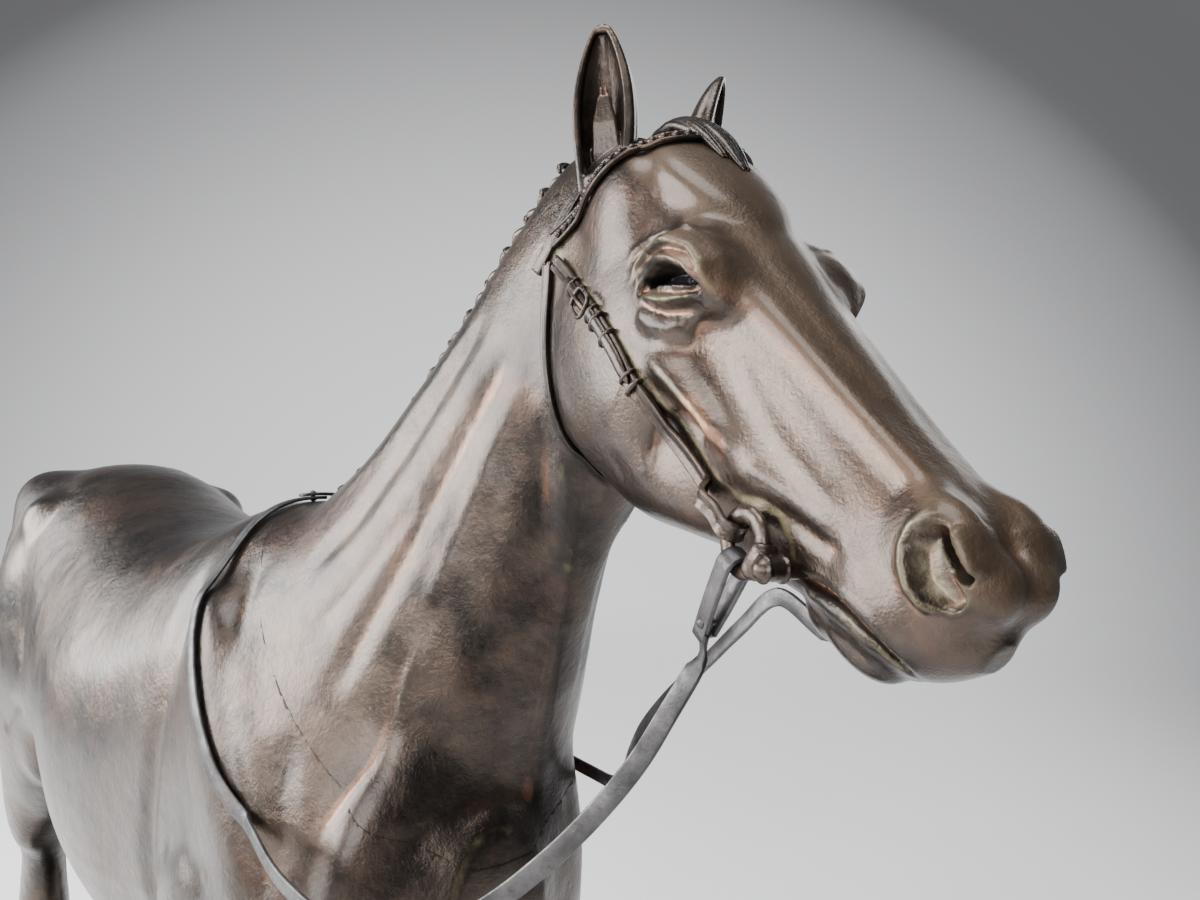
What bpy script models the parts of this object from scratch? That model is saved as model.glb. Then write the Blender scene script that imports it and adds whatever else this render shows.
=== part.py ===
"""Bronze horse statue: hollow castings brazed together, a bridle, loose reins, and a wooden plinth.

Frame: +X to the horse's front, +Y to its left, +Z up. The origin is the middle of the plinth's underside,
on the plane that it rests on. Tables are in millimetres; everything is built in metres.
"""

import math

import bmesh
import bpy
from mathutils import Matrix, Vector
from mathutils.bvhtree import BVHTree

MM = 0.001

# Driving dimensions, in millimetres
FELT_THICKNESS = 2.0
PLINTH_LENGTH, PLINTH_WIDTH, PLINTH_TOP = 372.0, 156.0, 21.7
PLATE_LENGTH, PLATE_WIDTH, PLATE_TOP = 340.0, 120.0, 28.0
SEAM = 0.3  # gap between one casting and the next
WALL = 4.0  # bronze wall of the hollow castings
HEAD_ORIGIN = Vector((206.0, 21.0, 430.0))  # inside the skull, under the poll
HEAD_YAW, HEAD_PITCH, HEAD_ROLL = -12.0, 33.5, -4.5
RING_SIDES = 20
LEG_SIDES = 14

STUD_RADIUS, HOLE_RADIUS = 2.0, 2.35
STUD_TOP, STUD_BOTTOM = 44.0, 3.6
COUNTERBORE_RADIUS, COUNTERBORE_TOP = 6.6, 9.6
NUT_RADIUS, NUT_BOTTOM, NUT_TOP = 4.3, 5.0, 8.2
WASHER_RADIUS, WASHER_BOTTOM, WASHER_TOP = 5.0, 8.5, 9.3

BIT_U, BIT_V, BIT_W = 81.0, -17.0, 13.0  # bit rings in the head's frame; the left one is at +BIT_W
BAR_U, BAR_V, BAR_RADIUS = 88.2, -15.6, 1.3
RING_RADIUS, RING_WIRE = 4.2, 1.0
FOLD_RADIUS = 2.1  # a strap's middle layer round the ring's wire
REIN_WIDTH, REIN_THICKNESS = 3.4, 0.9
STRAP_WIDTH, STRAP_THICKNESS = 3.2, 0.9
STRAP_GAP = 0.45
REIN_GAP = 1.9
RIVET_RADIUS, RIVET_HOLE, RIVET_HEAD = 0.6, 0.9, 1.15

# Trunk from buttock to breast: x, top, bottom, half width
TRUNK = (
    (-175, 310, 276, 14),
    (-168, 326, 258, 28),
    (-152, 341, 242, 42),
    (-130, 350, 232, 49),
    (-108, 353, 226, 51),
    (-80, 352, 220, 50),
    (-50, 347, 213, 50),
    (-20, 343, 207, 53),
    (10, 341, 203, 55),
    (40, 344, 200, 52),
    (65, 353, 200, 47),
    (95, 359, 203, 43),
    (122, 352, 209, 42),
    (145, 338, 217, 40),
    (165, 322, 229, 34),
    (178, 312, 244, 26),
    (186, 300, 262, 14),
)
# Neck from inside the shoulders to inside the skull: crest point, throat-side point, half width
NECK = (
    ((86, 0, 348), (176, 6, 286), 36),
    ((108, 2, 362), (182, 10, 308), 31),
    ((129, 5, 377), (187, 12, 326), 25),
    ((147, 8, 395), (191, 14, 342), 20),
    ((161, 12, 412), (195.5, 16, 356), 17),
    ((174, 16, 429), (201, 18, 368), 15.5),
    ((187, 18, 441), (209, 19, 378), 14.5),
    ((201, 19.5, 445), (214, 19.5, 382), 13.5),
    ((210, 21, 439), (218, 20, 388), 11),
)
# Head along its own axis from poll to muzzle: u, top v, bottom v, half width
HEAD = (
    (-7, 8, -16, 9),
    (0, 14, -28, 13),
    (12, 17, -38, 16),
    (24, 17, -43, 17.5),
    (36, 16, -44, 18.5),
    (48, 14.5, -41, 18),
    (60, 12.5, -34.5, 15.5),
    (72, 11, -28, 13),
    (84, 9.5, -23.5, 11),
    (93, 9, -20.5, 10),
    (101, 8.5, -19.5, 10),
    (108, 6.5, -16.5, 9),
    (113.5, 2.5, -12, 6.5),
    (116, -1, -7.5, 2.5),
)
MANE_START, MANE_END = 0.75, 6.1  # places along the rows of NECK
# Legs from inside the trunk to the ground: z, x, y, half length, half width
FORELEG = (
    (262, 130, 27, 26, 12),
    (238, 127, 29, 25, 15),
    (215, 124, 30, 21, 15.5),
    (192, 125, 30, 16.5, 13),
    (165, 127, 29, 12.5, 11),
    (145, 128, 28.5, 10.5, 9.8),
    (133, 129.5, 28.5, 11.3, 10.6),
    (124, 129.5, 28.5, 11, 10.3),
    (113, 128.5, 28.5, 8.6, 8.4),
    (100, 128.5, 28.5, 7.2, 6.6),
    (84, 128.5, 28.5, 7.2, 6.4),
    (74, 129, 28.5, 9, 8.2),
    (67, 130.5, 28.5, 9.4, 8.6),
    (59, 134, 28.5, 7.8, 7.8),
    (52, 137.5, 28.5, 8.8, 9),
    (46, 140, 28.5, 11.2, 11),
    (PLATE_TOP + SEAM, 144, 28.5, 15.4, 13.2),
)
HINDLEG = (
    (290, -122, 24, 34, 19),
    (268, -120, 27, 43, 22),
    (244, -118, 29, 43, 21),
    (222, -120, 30, 34, 18),
    (202, -128, 29.5, 24, 15),
    (182, -139, 28.5, 17, 11.5),
    (165, -147, 27.5, 13.5, 9),
    (152, -151, 27, 14.5, 9.6),
    (140, -151, 27, 14, 10.4),
    (127, -150, 27, 11, 9),
    (113, -150.5, 27, 8.6, 7.2),
    (96, -150.5, 27, 8, 6.6),
    (80, -149.5, 27, 8.6, 7),
    (72, -148, 27, 10.2, 8.8),
    (65, -145.5, 27, 9.8, 8.6),
    (57, -141, 27, 8.2, 7.8),
    (51, -138, 27, 9, 9),
    (46, -136, 27, 11, 10.8),
    (PLATE_TOP + SEAM, -132.5, 27, 15, 12.8),
)
NEAR_HIND_BACK = -12.0  # the right hind foot stands this much further back
# Tail from dock to tip: z, x, half length, half width
TAIL = (
    (336, -160, 7, 7),
    (328, -172, 8, 8),
    (312, -181, 8.5, 9.5),
    (285, -187, 9.5, 12),
    (250, -190, 10.5, 13.5),
    (215, -190, 10, 12.5),
    (180, -188, 8, 10),
    (150, -186, 5, 6.5),
    (130, -184.5, 1.5, 2),
)
# Each rein's centreline: free from its bit ring to the shoulder, then pressed onto the shoulder and withers
RIGHT_FREE = (
    (256.4, -9.8, 354.0),
    (254.0, -13.1, 346.5),
    (250.5, -16.2, 338.0),
    (246.0, -20.5, 329.5),
    (240.5, -25.0, 321.5),
    (233.0, -30.0, 313.0),
    (222.5, -34.7, 304.5),
    (209.5, -38.2, 298.8),
    (196.0, -40.2, 295.6),
    (182.0, -41.3, 294.8),
    (168.0, -41.6, 295.6),
)
LEFT_FREE = (
    (243.0, 22.4, 357.5),
    (234.0, 22.4, 350.0),
    (224.5, 22.8, 341.0),
    (213.0, 24.0, 331.0),
    (203.0, 26.0, 321.0),
    (195.0, 29.5, 311.5),
    (187.5, 34.5, 303.5),
    (178.0, 39.0, 298.0),
    (166.0, 41.5, 296.2),
)
ON_SHOULDER = (  # x, and the turn from the top about a line at height REIN_AXIS
    (147, 108),
    (141, 103),
    (135, 97),
    (130, 91),
    (124, 83),
    (118, 74),
    (111, 62),
    (105, 50.5),
    (100, 39.5),
    (96, 29.5),
    (93, 19.6),
    (90.5, 10),
    (89, 0),
)
REIN_AXIS = 310.0
# The ears' sections from root to tip: share of the length, half width, half depth
EAR_RINGS = ((0, 4.6, 4), (0.25, 5.8, 4.6), (0.5, 6.4, 3.8), (0.78, 4.6, 2.4), (1, 1, 0.8))
REIN_FOLD = (0.1, -0.995)  # way each rein leaves its ring, as u, v


def clear_scene():
    for old in list(bpy.data.objects):
        bpy.data.objects.remove(old)


def new_collection(name):
    made = bpy.data.collections.new(name)
    bpy.context.scene.collection.children.link(made)
    return made


def new_material(name, colour, roughness, metallic):
    made = bpy.data.materials.new(name)
    made.use_nodes = True
    shader = made.node_tree.nodes["Principled BSDF"]
    shader.inputs["Base Color"].default_value = (*colour, 1.0)
    shader.inputs["Roughness"].default_value = roughness
    shader.inputs["Metallic"].default_value = metallic
    return made


clear_scene()
STATUE = new_collection("bronze_horse_statue")
HELPERS = new_collection("cutters")
BRONZE = new_material("patinated_bronze", (0.16, 0.12, 0.095), 0.36, 1.0)
STRAP_BRONZE = new_material("grey_bronze_strap", (0.17, 0.17, 0.165), 0.42, 1.0)
WOOD = new_material("dark_wood", (0.09, 0.035, 0.02), 0.35, 0.0)
FELT = new_material("felt", (0.03, 0.05, 0.035), 0.95, 0.0)
STEEL = new_material("steel_fastener", (0.42, 0.41, 0.39), 0.4, 1.0)


def object_from(name, bm, material):
    """A node made from a bmesh built in millimetres."""
    bmesh.ops.scale(bm, vec=Vector((MM, MM, MM)), verts=bm.verts)
    bmesh.ops.recalc_face_normals(bm, faces=bm.faces)
    mesh = bpy.data.meshes.new(name)
    bm.to_mesh(mesh)
    bm.free()
    made = bpy.data.objects.new(name, mesh)
    (STATUE if material else HELPERS).objects.link(made)
    if material:
        mesh.materials.append(material)
    else:
        made.hide_render = True
        made.display_type = "WIRE"
    return made


def smooth(obj, angle=50):
    obj.data.shade_smooth()
    obj.data.set_sharp_from_angle(angle=math.radians(angle))
    return obj


def bake(obj):
    """Applies an object's modifiers, so that a helper can go."""
    bpy.context.view_layer.update()
    graph = bpy.context.evaluated_depsgraph_get()
    final = bpy.data.meshes.new_from_object(obj.evaluated_get(graph))
    obj.modifiers.clear()
    obj.data = final
    return obj


def boolean(obj, *cutters, operation="DIFFERENCE"):
    for cutter in cutters:
        step = obj.modifiers.new(f"{operation.lower()}_{cutter.name}", "BOOLEAN")
        step.operation = operation
        step.object = cutter
        step.solver = "EXACT"
    return bake(obj)


def ring(centre, side, up, half_side, half_up, count):
    """A full oval section: a circle pressed 8% towards its bounding box."""
    fullness = 0.92
    points = []
    for k in range(count):
        angle = 2 * math.pi * k / count
        c, s = math.cos(angle), math.sin(angle)
        across = math.copysign(abs(c) ** fullness, c) * half_side
        along = math.copysign(abs(s) ** fullness, s) * half_up
        points.append(centre + side * across + up * along)
    return points


def loft(name, rings, material=None):
    bm = bmesh.new()
    rows = [[bm.verts.new(p) for p in points] for points in rings]
    for low, high in zip(rows, rows[1:]):
        for k in range(len(low)):
            n = (k + 1) % len(low)
            bm.faces.new((low[k], low[n], high[n]))
            bm.faces.new((low[k], high[n], high[k]))
    bm.faces.new(reversed(rows[0]))
    bm.faces.new(rows[-1])
    return object_from(name, bm, material)


def trunk_rings(grow):
    side, up = Vector((0, 1, 0)), Vector((0, 0, 1))
    rings = []
    for x, top, bottom, half in TRUNK:
        step = grow if x > 0 else -grow
        at_end = x in (TRUNK[0][0], TRUNK[-1][0])
        centre = Vector((x + (step if at_end else 0), 0, (top + bottom) / 2))
        rings.append(ring(centre, side, up, half + grow, (top - bottom) / 2 + grow, RING_SIDES))
    return rings


def neck_rings(grow, overrun=0.0):
    side = Vector((0, 1, 0))
    rings = []
    for crest, throat, half in NECK:
        crest, throat = Vector(crest), Vector(throat)
        up = (crest - throat).normalized()
        depth = (crest - throat).length / 2
        rings.append(ring((crest + throat) / 2, side, up, half + grow, depth + grow, RING_SIDES))
    along = (Vector(NECK[-1][0]) - Vector(NECK[-2][0])).normalized() * overrun
    rings[-1] = [point + along for point in rings[-1]]
    return rings


def head_frame():
    """Turns head coordinates (u to the muzzle, w to the left, v to the forehead) into the statue's frame."""
    turn = Matrix.Rotation(math.radians(HEAD_YAW), 4, "Z")
    turn @= Matrix.Rotation(math.radians(HEAD_PITCH), 4, "Y")
    turn @= Matrix.Rotation(math.radians(HEAD_ROLL), 4, "X")
    return Matrix.Translation(HEAD_ORIGIN) @ turn


HEAD_FRAME = head_frame()
HEAD_TURN = HEAD_FRAME.to_3x3()


def in_head(u, v, w):
    return HEAD_FRAME @ Vector((u, w, v))


def head_rings(grow, first=0, last=len(HEAD)):
    side, up = HEAD_TURN @ Vector((0, 1, 0)), HEAD_TURN @ Vector((0, 0, 1))
    rings = []
    for u, top, bottom, half in HEAD[first:last]:
        centre = in_head(u, (top + bottom) / 2, 0)
        rings.append(ring(centre, side, up, half + grow, (top - bottom) / 2 + grow, RING_SIDES))
    return rings


def column_rings(table, side=0, back=0.0):
    """Level rings down a leg or the tail. side is 1 left, -1 right, 0 on the middle plane."""
    rings = []
    for row in table:
        z, x, half_length, half_width = row[0], row[1], row[-2], row[-1]
        y = row[2] * side if side else 0.0
        share = min(1.0, max(0.0, (290 - z) / 90))
        centre = Vector((x + back * share, y, z))
        rings.append(ring(centre, Vector((1, 0, 0)), Vector((0, 1, 0)), half_length, half_width, LEG_SIDES))
    return rings


def cylinder(name, radius, bottom, top, sides=24, material=None, shape=Matrix.Identity(4)):
    """An upright cylinder at the origin of shape, from bottom to top along its Z, in millimetres."""
    bm = bmesh.new()
    bmesh.ops.create_cone(
        bm, cap_ends=True, segments=sides, radius1=radius, radius2=radius, depth=top - bottom
    )
    bmesh.ops.translate(bm, vec=Vector((0, 0, (top + bottom) / 2)), verts=bm.verts)
    bmesh.ops.transform(bm, matrix=shape, verts=bm.verts)
    return object_from(name, bm, material)


def at(x, y, z=0.0):
    return Matrix.Translation(Vector((x, y, z)))


def envelope(name, rings):
    return loft(name, rings)


# The castings

TRUNK_SKIN = envelope("trunk_envelope", trunk_rings(SEAM))
NECK_SKIN = envelope("neck_envelope", neck_rings(SEAM))
HEAD_SKIN = envelope("head_envelope", head_rings(SEAM))
TRUNK_CORE = envelope("trunk_core", trunk_rings(-WALL)[1:-1])
NECK_CORE = envelope("neck_core", neck_rings(-WALL, overrun=3.0))
HEAD_CORE = envelope("head_core", head_rings(-WALL, first=2, last=10))


def across_head(name, radius, u, v, near, far):
    """A cylinder along the head's left-right axis, from w = near to w = far."""
    turn = Matrix.Rotation(math.radians(-90), 4, "X")
    shape = HEAD_FRAME @ Matrix.Translation(Vector((u, 0, v))) @ turn
    return cylinder(name, radius, near, far, shape=shape)


def make_castings():
    trunk = loft("trunk_casting", trunk_rings(0), BRONZE)
    boolean(trunk, TRUNK_CORE, NECK_CORE)
    neck = loft("neck_casting", neck_rings(0), BRONZE)
    boolean(neck, TRUNK_SKIN, NECK_CORE)
    head = loft("head_casting", head_rings(0), BRONZE)
    pockets = [
        across_head(f"bit_pocket_{k}", RING_RADIUS - 0.7, BIT_U, BIT_V, *reach)
        for k, reach in enumerate(((-30, -3), (3, 30)))
    ]
    mouth = across_head("mouth_bore", BAR_RADIUS + 0.4, BAR_U, BAR_V, -30, 30)
    boolean(head, NECK_SKIN, HEAD_CORE, *pockets, mouth)
    return trunk, neck, head


def leg_name(front, side):
    return f"{'foreleg' if front else 'hindleg'}_{'left' if side > 0 else 'right'}"


def feet():
    """(name, front, side, set back, stud place) of each leg."""
    for front in (True, False):
        for side in (1, -1):
            back = 0.0 if front or side > 0 else NEAR_HIND_BACK
            z, x, y = (FORELEG if front else HINDLEG)[-1][:3]
            yield leg_name(front, side), front, side, back, (x + back, y * side)


def make_legs():
    for name, front, side, back, (x, y) in feet():
        leg = loft(name, column_rings(FORELEG if front else HINDLEG, side, back), BRONZE)
        hole = cylinder(f"hole_{name}", HOLE_RADIUS, 10, STUD_TOP + 1, shape=at(x, y))
        smooth(boolean(leg, TRUNK_SKIN, hole))


def make_tail():
    tail = loft("tail", column_rings(TAIL), BRONZE)
    smooth(boolean(tail, TRUNK_SKIN))


def make_ears():
    """Each ear is a leaf, narrow at the root and tip, leaning out and back."""
    ears = []
    tips = {-1: (-26, 25, -9), 1: (-20, 23, 16)}
    for side, tip in tips.items():
        root = in_head(0, 1, 10 * side)
        end = in_head(*tip)
        along = (end - root).normalized()
        across = along.cross(HEAD_TURN @ Vector((1, 0, 0))).normalized()
        front = across.cross(along).normalized()
        rings = []
        for share, half, depth in EAR_RINGS:
            rings.append(ring(root.lerp(end, share), across, front, half, depth, LEG_SIDES))
        ear = loft(f"ear_{side_word(side)}", rings, BRONZE)
        ears.append(boolean(ear, HEAD_SKIN, NECK_SKIN))
    return ears


def make_mane():
    """The plaited mane: a rope of knots along the crest, let into it."""
    knots, steps = 13, 4
    crest = [Vector(row[0]) for row in NECK]
    rings = []
    total = knots * steps
    for k in range(total + 1):
        place = MANE_START + (MANE_END - MANE_START) * k / total
        low = int(place)
        point = crest[low].lerp(crest[low + 1], place - low)
        along = (crest[low + 1] - crest[low]).normalized()
        side = Vector((0, 1, 0))
        up = side.cross(along).normalized() * -1
        size = 2.1 + 0.9 * abs(math.sin(math.pi * k / steps))
        rings.append(ring(point + up * 1.2, side, up, size, size, 8))
    mane = loft("mane_plaits", rings, BRONZE)
    smooth(boolean(mane, NECK_SKIN, TRUNK_SKIN))


# Straps that lie on the castings


def skin_tree():
    """One search tree over the outer skins of trunk, neck and head, in millimetres."""
    points, faces = [], []
    for skin in (TRUNK_SKIN, NECK_SKIN, HEAD_SKIN):
        start = len(points)
        points += [v.co / MM for v in skin.data.vertices]
        faces += [[start + i for i in p.vertices] for p in skin.data.polygons]
    return BVHTree.FromPolygons(points, faces)


SKIN = skin_tree()


def on_skin(start, towards, lift):
    """Where a line from start to a point inside meets the skin, raised by lift, and the skin's normal."""
    direction = (towards - start).normalized()
    hit, normal, _, _ = SKIN.ray_cast(start, direction)
    if normal.dot(direction) > 0:
        normal = -normal
    return hit + normal * lift, normal


def resample(points, spacing):
    """A smooth curve through the points (Catmull-Rom), with a point about every spacing."""
    points = [Vector(p) for p in points]
    ends = [points[0] * 2 - points[1], *points, points[-1] * 2 - points[-2]]
    curve = []
    for a, b, c, d in zip(ends, ends[1:], ends[2:], ends[3:]):
        steps = max(1, round((c - b).length / spacing))
        for k in range(steps):
            t = k / steps
            bend = (2 * a - 5 * b + 4 * c - d) * t * t + (3 * b - a - 3 * c + d) * t**3
            curve.append(0.5 * (2 * b + (c - a) * t + bend))
    return [*curve, points[-1]]


def tangents(points):
    last = len(points) - 1
    return [(points[min(k + 1, last)] - points[max(k - 1, 0)]).normalized() for k in range(last + 1)]


def ribbon(name, points, normals, width, thickness, material):
    """A flat strap along the points, facing its normals, closed at both ends."""
    bm = bmesh.new()
    rows = []
    for point, tangent, normal in zip(points, tangents(points), normals):
        across = tangent.cross(normal).normalized() * width / 2
        raised = across.cross(tangent).normalized() * thickness / 2
        corners = (across + raised, -across + raised, -across - raised, across - raised)
        rows.append([bm.verts.new(point + corner) for corner in corners])
    for low, high in zip(rows, rows[1:]):
        for k in range(4):
            n = (k + 1) % 4
            bm.faces.new((low[k], low[n], high[n]))
            bm.faces.new((low[k], high[n], high[k]))
    bm.faces.new(reversed(rows[0]))
    bm.faces.new(rows[-1])
    return object_from(name, bm, material)


def laid(outside, inside, lift):
    """Points and normals of a line pressed onto the skin, each point sent in towards its partner inside."""
    pressed = [on_skin(a, b, lift) for a, b in zip(outside, inside)]
    return [p for p, _ in pressed], [n for _, n in pressed]


def with_clearance(build):
    """The piece that build makes, and a copy grown by the seam to cut its neighbours with."""
    return build("", 0.0, BRONZE), build("_clearance", SEAM, None)


def around_head(name, centre, lean, start, end):
    """A strap in a plane across the head: centre u, v; lean of its upward line; turns from the top."""
    middle = in_head(*centre, 0)
    upward = HEAD_TURN @ Vector((lean[0], 0, lean[1])).normalized()
    left = HEAD_TURN @ Vector((0, 1, 0))
    count = 1 + round(abs(end - start) / 9)
    turns = [math.radians(start + (end - start) * k / (count - 1)) for k in range(count)]
    outside = [middle + (upward * math.cos(t) + left * math.sin(t)) * 60 for t in turns]

    def build(suffix, grow, material):
        lift = STRAP_GAP + STRAP_THICKNESS / 2
        points, normals = laid(outside, [middle] * count, lift)
        size = STRAP_WIDTH + 2 * grow, STRAP_THICKNESS + 2 * grow
        return ribbon(name + suffix, points, normals, *size, material)

    return with_clearance(build)


def fold_round_ring(side, way, reach, layer_gap):
    """A strap's path round the ring's wire and both layers' way off it, out layer first, with normals.

    way is the direction in which the strap leaves the ring, as u, v in the head's frame.
    """
    out = HEAD_TURN @ Vector((0, side, 0))
    off = HEAD_TURN @ Vector((way[0], 0, way[1])).normalized()
    wire = in_head(BIT_U, BIT_V, BIT_W * side) + off * RING_RADIUS
    points = [wire + off * reach + out * layer_gap, wire + off * reach * 0.5 + out * FOLD_RADIUS * 0.75]
    normals = [out, out]
    for k in range(9):
        turn = math.pi * k / 8
        spoke = out * math.cos(turn) - off * math.sin(turn)
        points.append(wire + spoke * FOLD_RADIUS)
        normals.append(spoke)
    points += [wire + off * reach * 0.5 - out * FOLD_RADIUS * 0.75]
    normals += [-out]
    return points, normals


def side_word(side):
    return "left" if side > 0 else "right"


def cheekpiece(side):
    route = [(66, -18.4), (56, -17.2), (46, -14.8), (36, -12.4), (26, -11.8), (14, -12.6), (3, -13.8)]
    outside = [in_head(u, v, 40 * side) for u, v in route]
    inside = [in_head(u, v, 0) for u, v in route]
    name = f"cheekpiece_{side_word(side)}"
    wrap, facing = fold_round_ring(side, (-1, -0.06), 7.0, FOLD_RADIUS)

    def build(suffix, grow, material):
        points, normals = laid(outside, inside, STRAP_GAP + STRAP_THICKNESS / 2)
        points = [*reversed(wrap[1:-1]), wrap[0], *points]
        normals = [*reversed(facing[1:-1]), facing[0], *normals]
        size = STRAP_WIDTH + 2 * grow, STRAP_THICKNESS + 2 * grow
        return ribbon(name + suffix, points, normals, *size, material)

    return with_clearance(build)


def make_bridle(head, neck, ears):
    """The straps, with the castings relieved under them."""
    crown, crown_clearance = around_head("crownpiece", (-3.5, -5), (-0.16, 1), -128, 128)
    smooth(crown, 30)
    brow, brow_clearance = around_head("browband", (1, -5), (0.42, 0.91), -114, 114)
    smooth(boolean(brow, crown_clearance), 30)
    throat, throat_clearance = around_head("throatlatch", (14, -29), (0.71, -0.71), -139, 139)
    cheek_clearances = []
    for side in (1, -1):
        cheek, clearance = cheekpiece(side)
        smooth(boolean(cheek, crown_clearance), 30)
        cheek_clearances.append(clearance)
    smooth(boolean(throat, crown_clearance, *cheek_clearances), 30)
    boolean(head, crown_clearance, brow_clearance, throat_clearance, *cheek_clearances)
    boolean(neck, crown_clearance, throat_clearance, *cheek_clearances)
    for ear in ears:
        boolean(ear, crown_clearance, brow_clearance)
    make_forelock(crown_clearance, brow_clearance)


def make_forelock(*bands):
    """The forelock comes from between the ears, passes over the browband and lies on the brow."""
    rings = []
    across = HEAD_TURN @ Vector((0, 1, 0))
    for u, v, w, half, depth in (
        (-1.5, 14.0, 0, 2.6, 3.4),
        (1, 16.6, 0, 4.2, 3.6),
        (6, 18.4, 0, 5.4, 3.6),
        (12, 18.8, 0.3, 5.2, 3.5),
        (18, 18.6, 0.6, 4.2, 2.8),
        (24, 17.8, 0.8, 2.4, 1.7),
        (29, 17.0, 1.0, 0.7, 0.9),
    ):
        rings.append(ring(in_head(u, v, w), across, HEAD_TURN @ Vector((0, 0, 1)), half, depth, 12))
    smooth(boolean(loft("forelock", rings, BRONZE), HEAD_SKIN, NECK_SKIN, *bands))


def torus(name, centre, axis, radius, wire, material, around=28, section=10):
    bm = bmesh.new()
    turn = axis.to_track_quat("Z", "Y").to_matrix()
    rows = []
    for k in range(around):
        a = 2 * math.pi * k / around
        spoke = Vector((math.cos(a), math.sin(a), 0))
        row = []
        for j in range(section):
            b = 2 * math.pi * j / section
            out = spoke * (radius + wire * math.cos(b)) + Vector((0, 0, wire * math.sin(b)))
            row.append(bm.verts.new(centre + turn @ out))
        rows.append(row)
    for k in range(around):
        for j in range(section):
            a, b = rows[k], rows[(k + 1) % around]
            n = (j + 1) % section
            bm.faces.new((a[j], b[j], b[n], a[n]))
    return object_from(name, bm, material)


def rod(name, start, end, radius, material=None, sides=20):
    """A cylinder from start to end."""
    turn = (end - start).to_track_quat("Z", "Y").to_matrix().to_4x4()
    return cylinder(name, radius, 0, (end - start).length, sides, material, Matrix.Translation(start) @ turn)


def make_bit():
    """A mouthpiece with an eye at each end, and a loose ring through each eye."""
    ends = [in_head(BAR_U, BAR_V, w) for w in (-11.5, 11.5)]
    mouthpiece = rod("bit_mouthpiece", *ends, BAR_RADIUS, BRONZE)
    for side in (1, -1):
        word = side_word(side)
        roll_ends = [in_head(BAR_U, BAR_V, w * side) for w in (11.0, 15.0)]
        eye_ends = [in_head(BIT_U + RING_RADIUS, BIT_V + v, BIT_W * side) for v in (-1.8, 2.6)]
        roll = rod(f"roll_{word}", *roll_ends, 1.9)
        eye = rod(f"eye_{word}", *eye_ends, 2.0)
        boolean(mouthpiece, roll, eye, operation="UNION")
    for side in (1, -1):
        centre = in_head(BIT_U, BIT_V, BIT_W * side)
        axis = HEAD_TURN @ Vector((0, 1, 0))
        groove = torus(f"ring_clearance_{side_word(side)}", centre, axis, RING_RADIUS, RING_WIRE + SEAM, None)
        boolean(mouthpiece, groove)
        smooth(torus(f"bit_ring_{side_word(side)}", centre, axis, RING_RADIUS, RING_WIRE, BRONZE))
    smooth(mouthpiece)


# Reins


def rein_path(side):
    """Points and normals from the fold round the ring to just past the middle of the withers."""
    way = REIN_FOLD
    points, normals = fold_round_ring(side, way, 14.0, 0.75)
    out = HEAD_TURN @ Vector((0, side, 0))
    off = HEAD_TURN @ Vector((way[0], 0, way[1])).normalized()
    wire = in_head(BIT_U, BIT_V, BIT_W * side) + off * RING_RADIUS
    free = [points[-1], wire + off * 14.0 - out * 0.75]
    free += [Vector(p) for p in (RIGHT_FREE if side < 0 else LEFT_FREE)]
    route = resample([(x, turn, 0) for x, turn in ON_SHOULDER], 4.5)
    route += [Vector((89, -4.0, 0))]
    turns = [math.radians(p.y) * side for p in route]
    inside = [Vector((p.x, 0, REIN_AXIS)) for p in route]
    outside = [p + Vector((0, math.sin(t), math.cos(t))) * 120 for p, t in zip(inside, turns)]
    pressed, facing = laid(outside, inside, REIN_GAP + REIN_THICKNESS / 2)
    over = 0.0 if side < 0 else REIN_THICKNESS + SEAM
    rise = [over * max(0.0, min(1.0, (18 - p.y) / 12)) for p in route]
    pressed = [p + n * lift for p, n, lift in zip(pressed, facing, rise)]
    away = Vector((0, side, 0))
    hang = resample([*free, *pressed[:1]], 9.0)
    share = [min(1.0, k / 3) for k in range(len(hang) - 1)]
    hang_normals = [(-out).lerp(-away, s) for s in share]
    points = [*points[:-1], *hang[:-1], *pressed]
    normals = [*normals[:-1], *hang_normals, *(-n for n in facing)]
    return points, normals


def rivet(name, start, end, head_start=True):
    """A rivet from start to end, with a domed head at the end and, if asked, one at the start."""
    made = rod(name, start, end, RIVET_RADIUS, STRAP_BRONZE, 12)
    along = (end - start).normalized()
    head = rod(f"{name}_head", end - along * 0.1, end + along * 0.5, RIVET_HEAD, None, 12)
    boolean(made, head, operation="UNION")
    if head_start:
        foot = rod(f"{name}_foot", start - along * 0.5, start + along * 0.1, RIVET_HEAD, None, 12)
        boolean(made, foot, operation="UNION")
    return smooth(made, 40)


def make_reins():
    top, normal = on_skin(Vector((89, 0, 420)), Vector((89, 0, 330)), 0)
    layers = REIN_GAP + 2 * REIN_THICKNESS + SEAM
    rivet("rivet_withers", top + normal * REIN_GAP, top + normal * (layers + SEAM), head_start=False)
    middle_hole = rod("withers_hole", top, top + normal * 6, RIVET_HOLE)
    for side in (1, -1):
        word = side_word(side)
        points, normals = rein_path(side)
        rein = ribbon(f"rein_{word}", points, normals, REIN_WIDTH, REIN_THICKNESS, STRAP_BRONZE)
        way = REIN_FOLD
        out = HEAD_TURN @ Vector((0, side, 0))
        off = HEAD_TURN @ Vector((way[0], 0, way[1])).normalized()
        place = in_head(BIT_U, BIT_V, BIT_W * side) + off * (RING_RADIUS + 11.0)
        hole = rod(f"rein_hole_{word}", place - out * 5, place + out * 5, RIVET_HOLE)
        smooth(boolean(rein, hole, middle_hole), 30)
        half = 0.95 + REIN_THICKNESS / 2 + SEAM + 0.1
        rivet(f"rivet_{word}", place - out * half, place + out * half)


# The base


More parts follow.
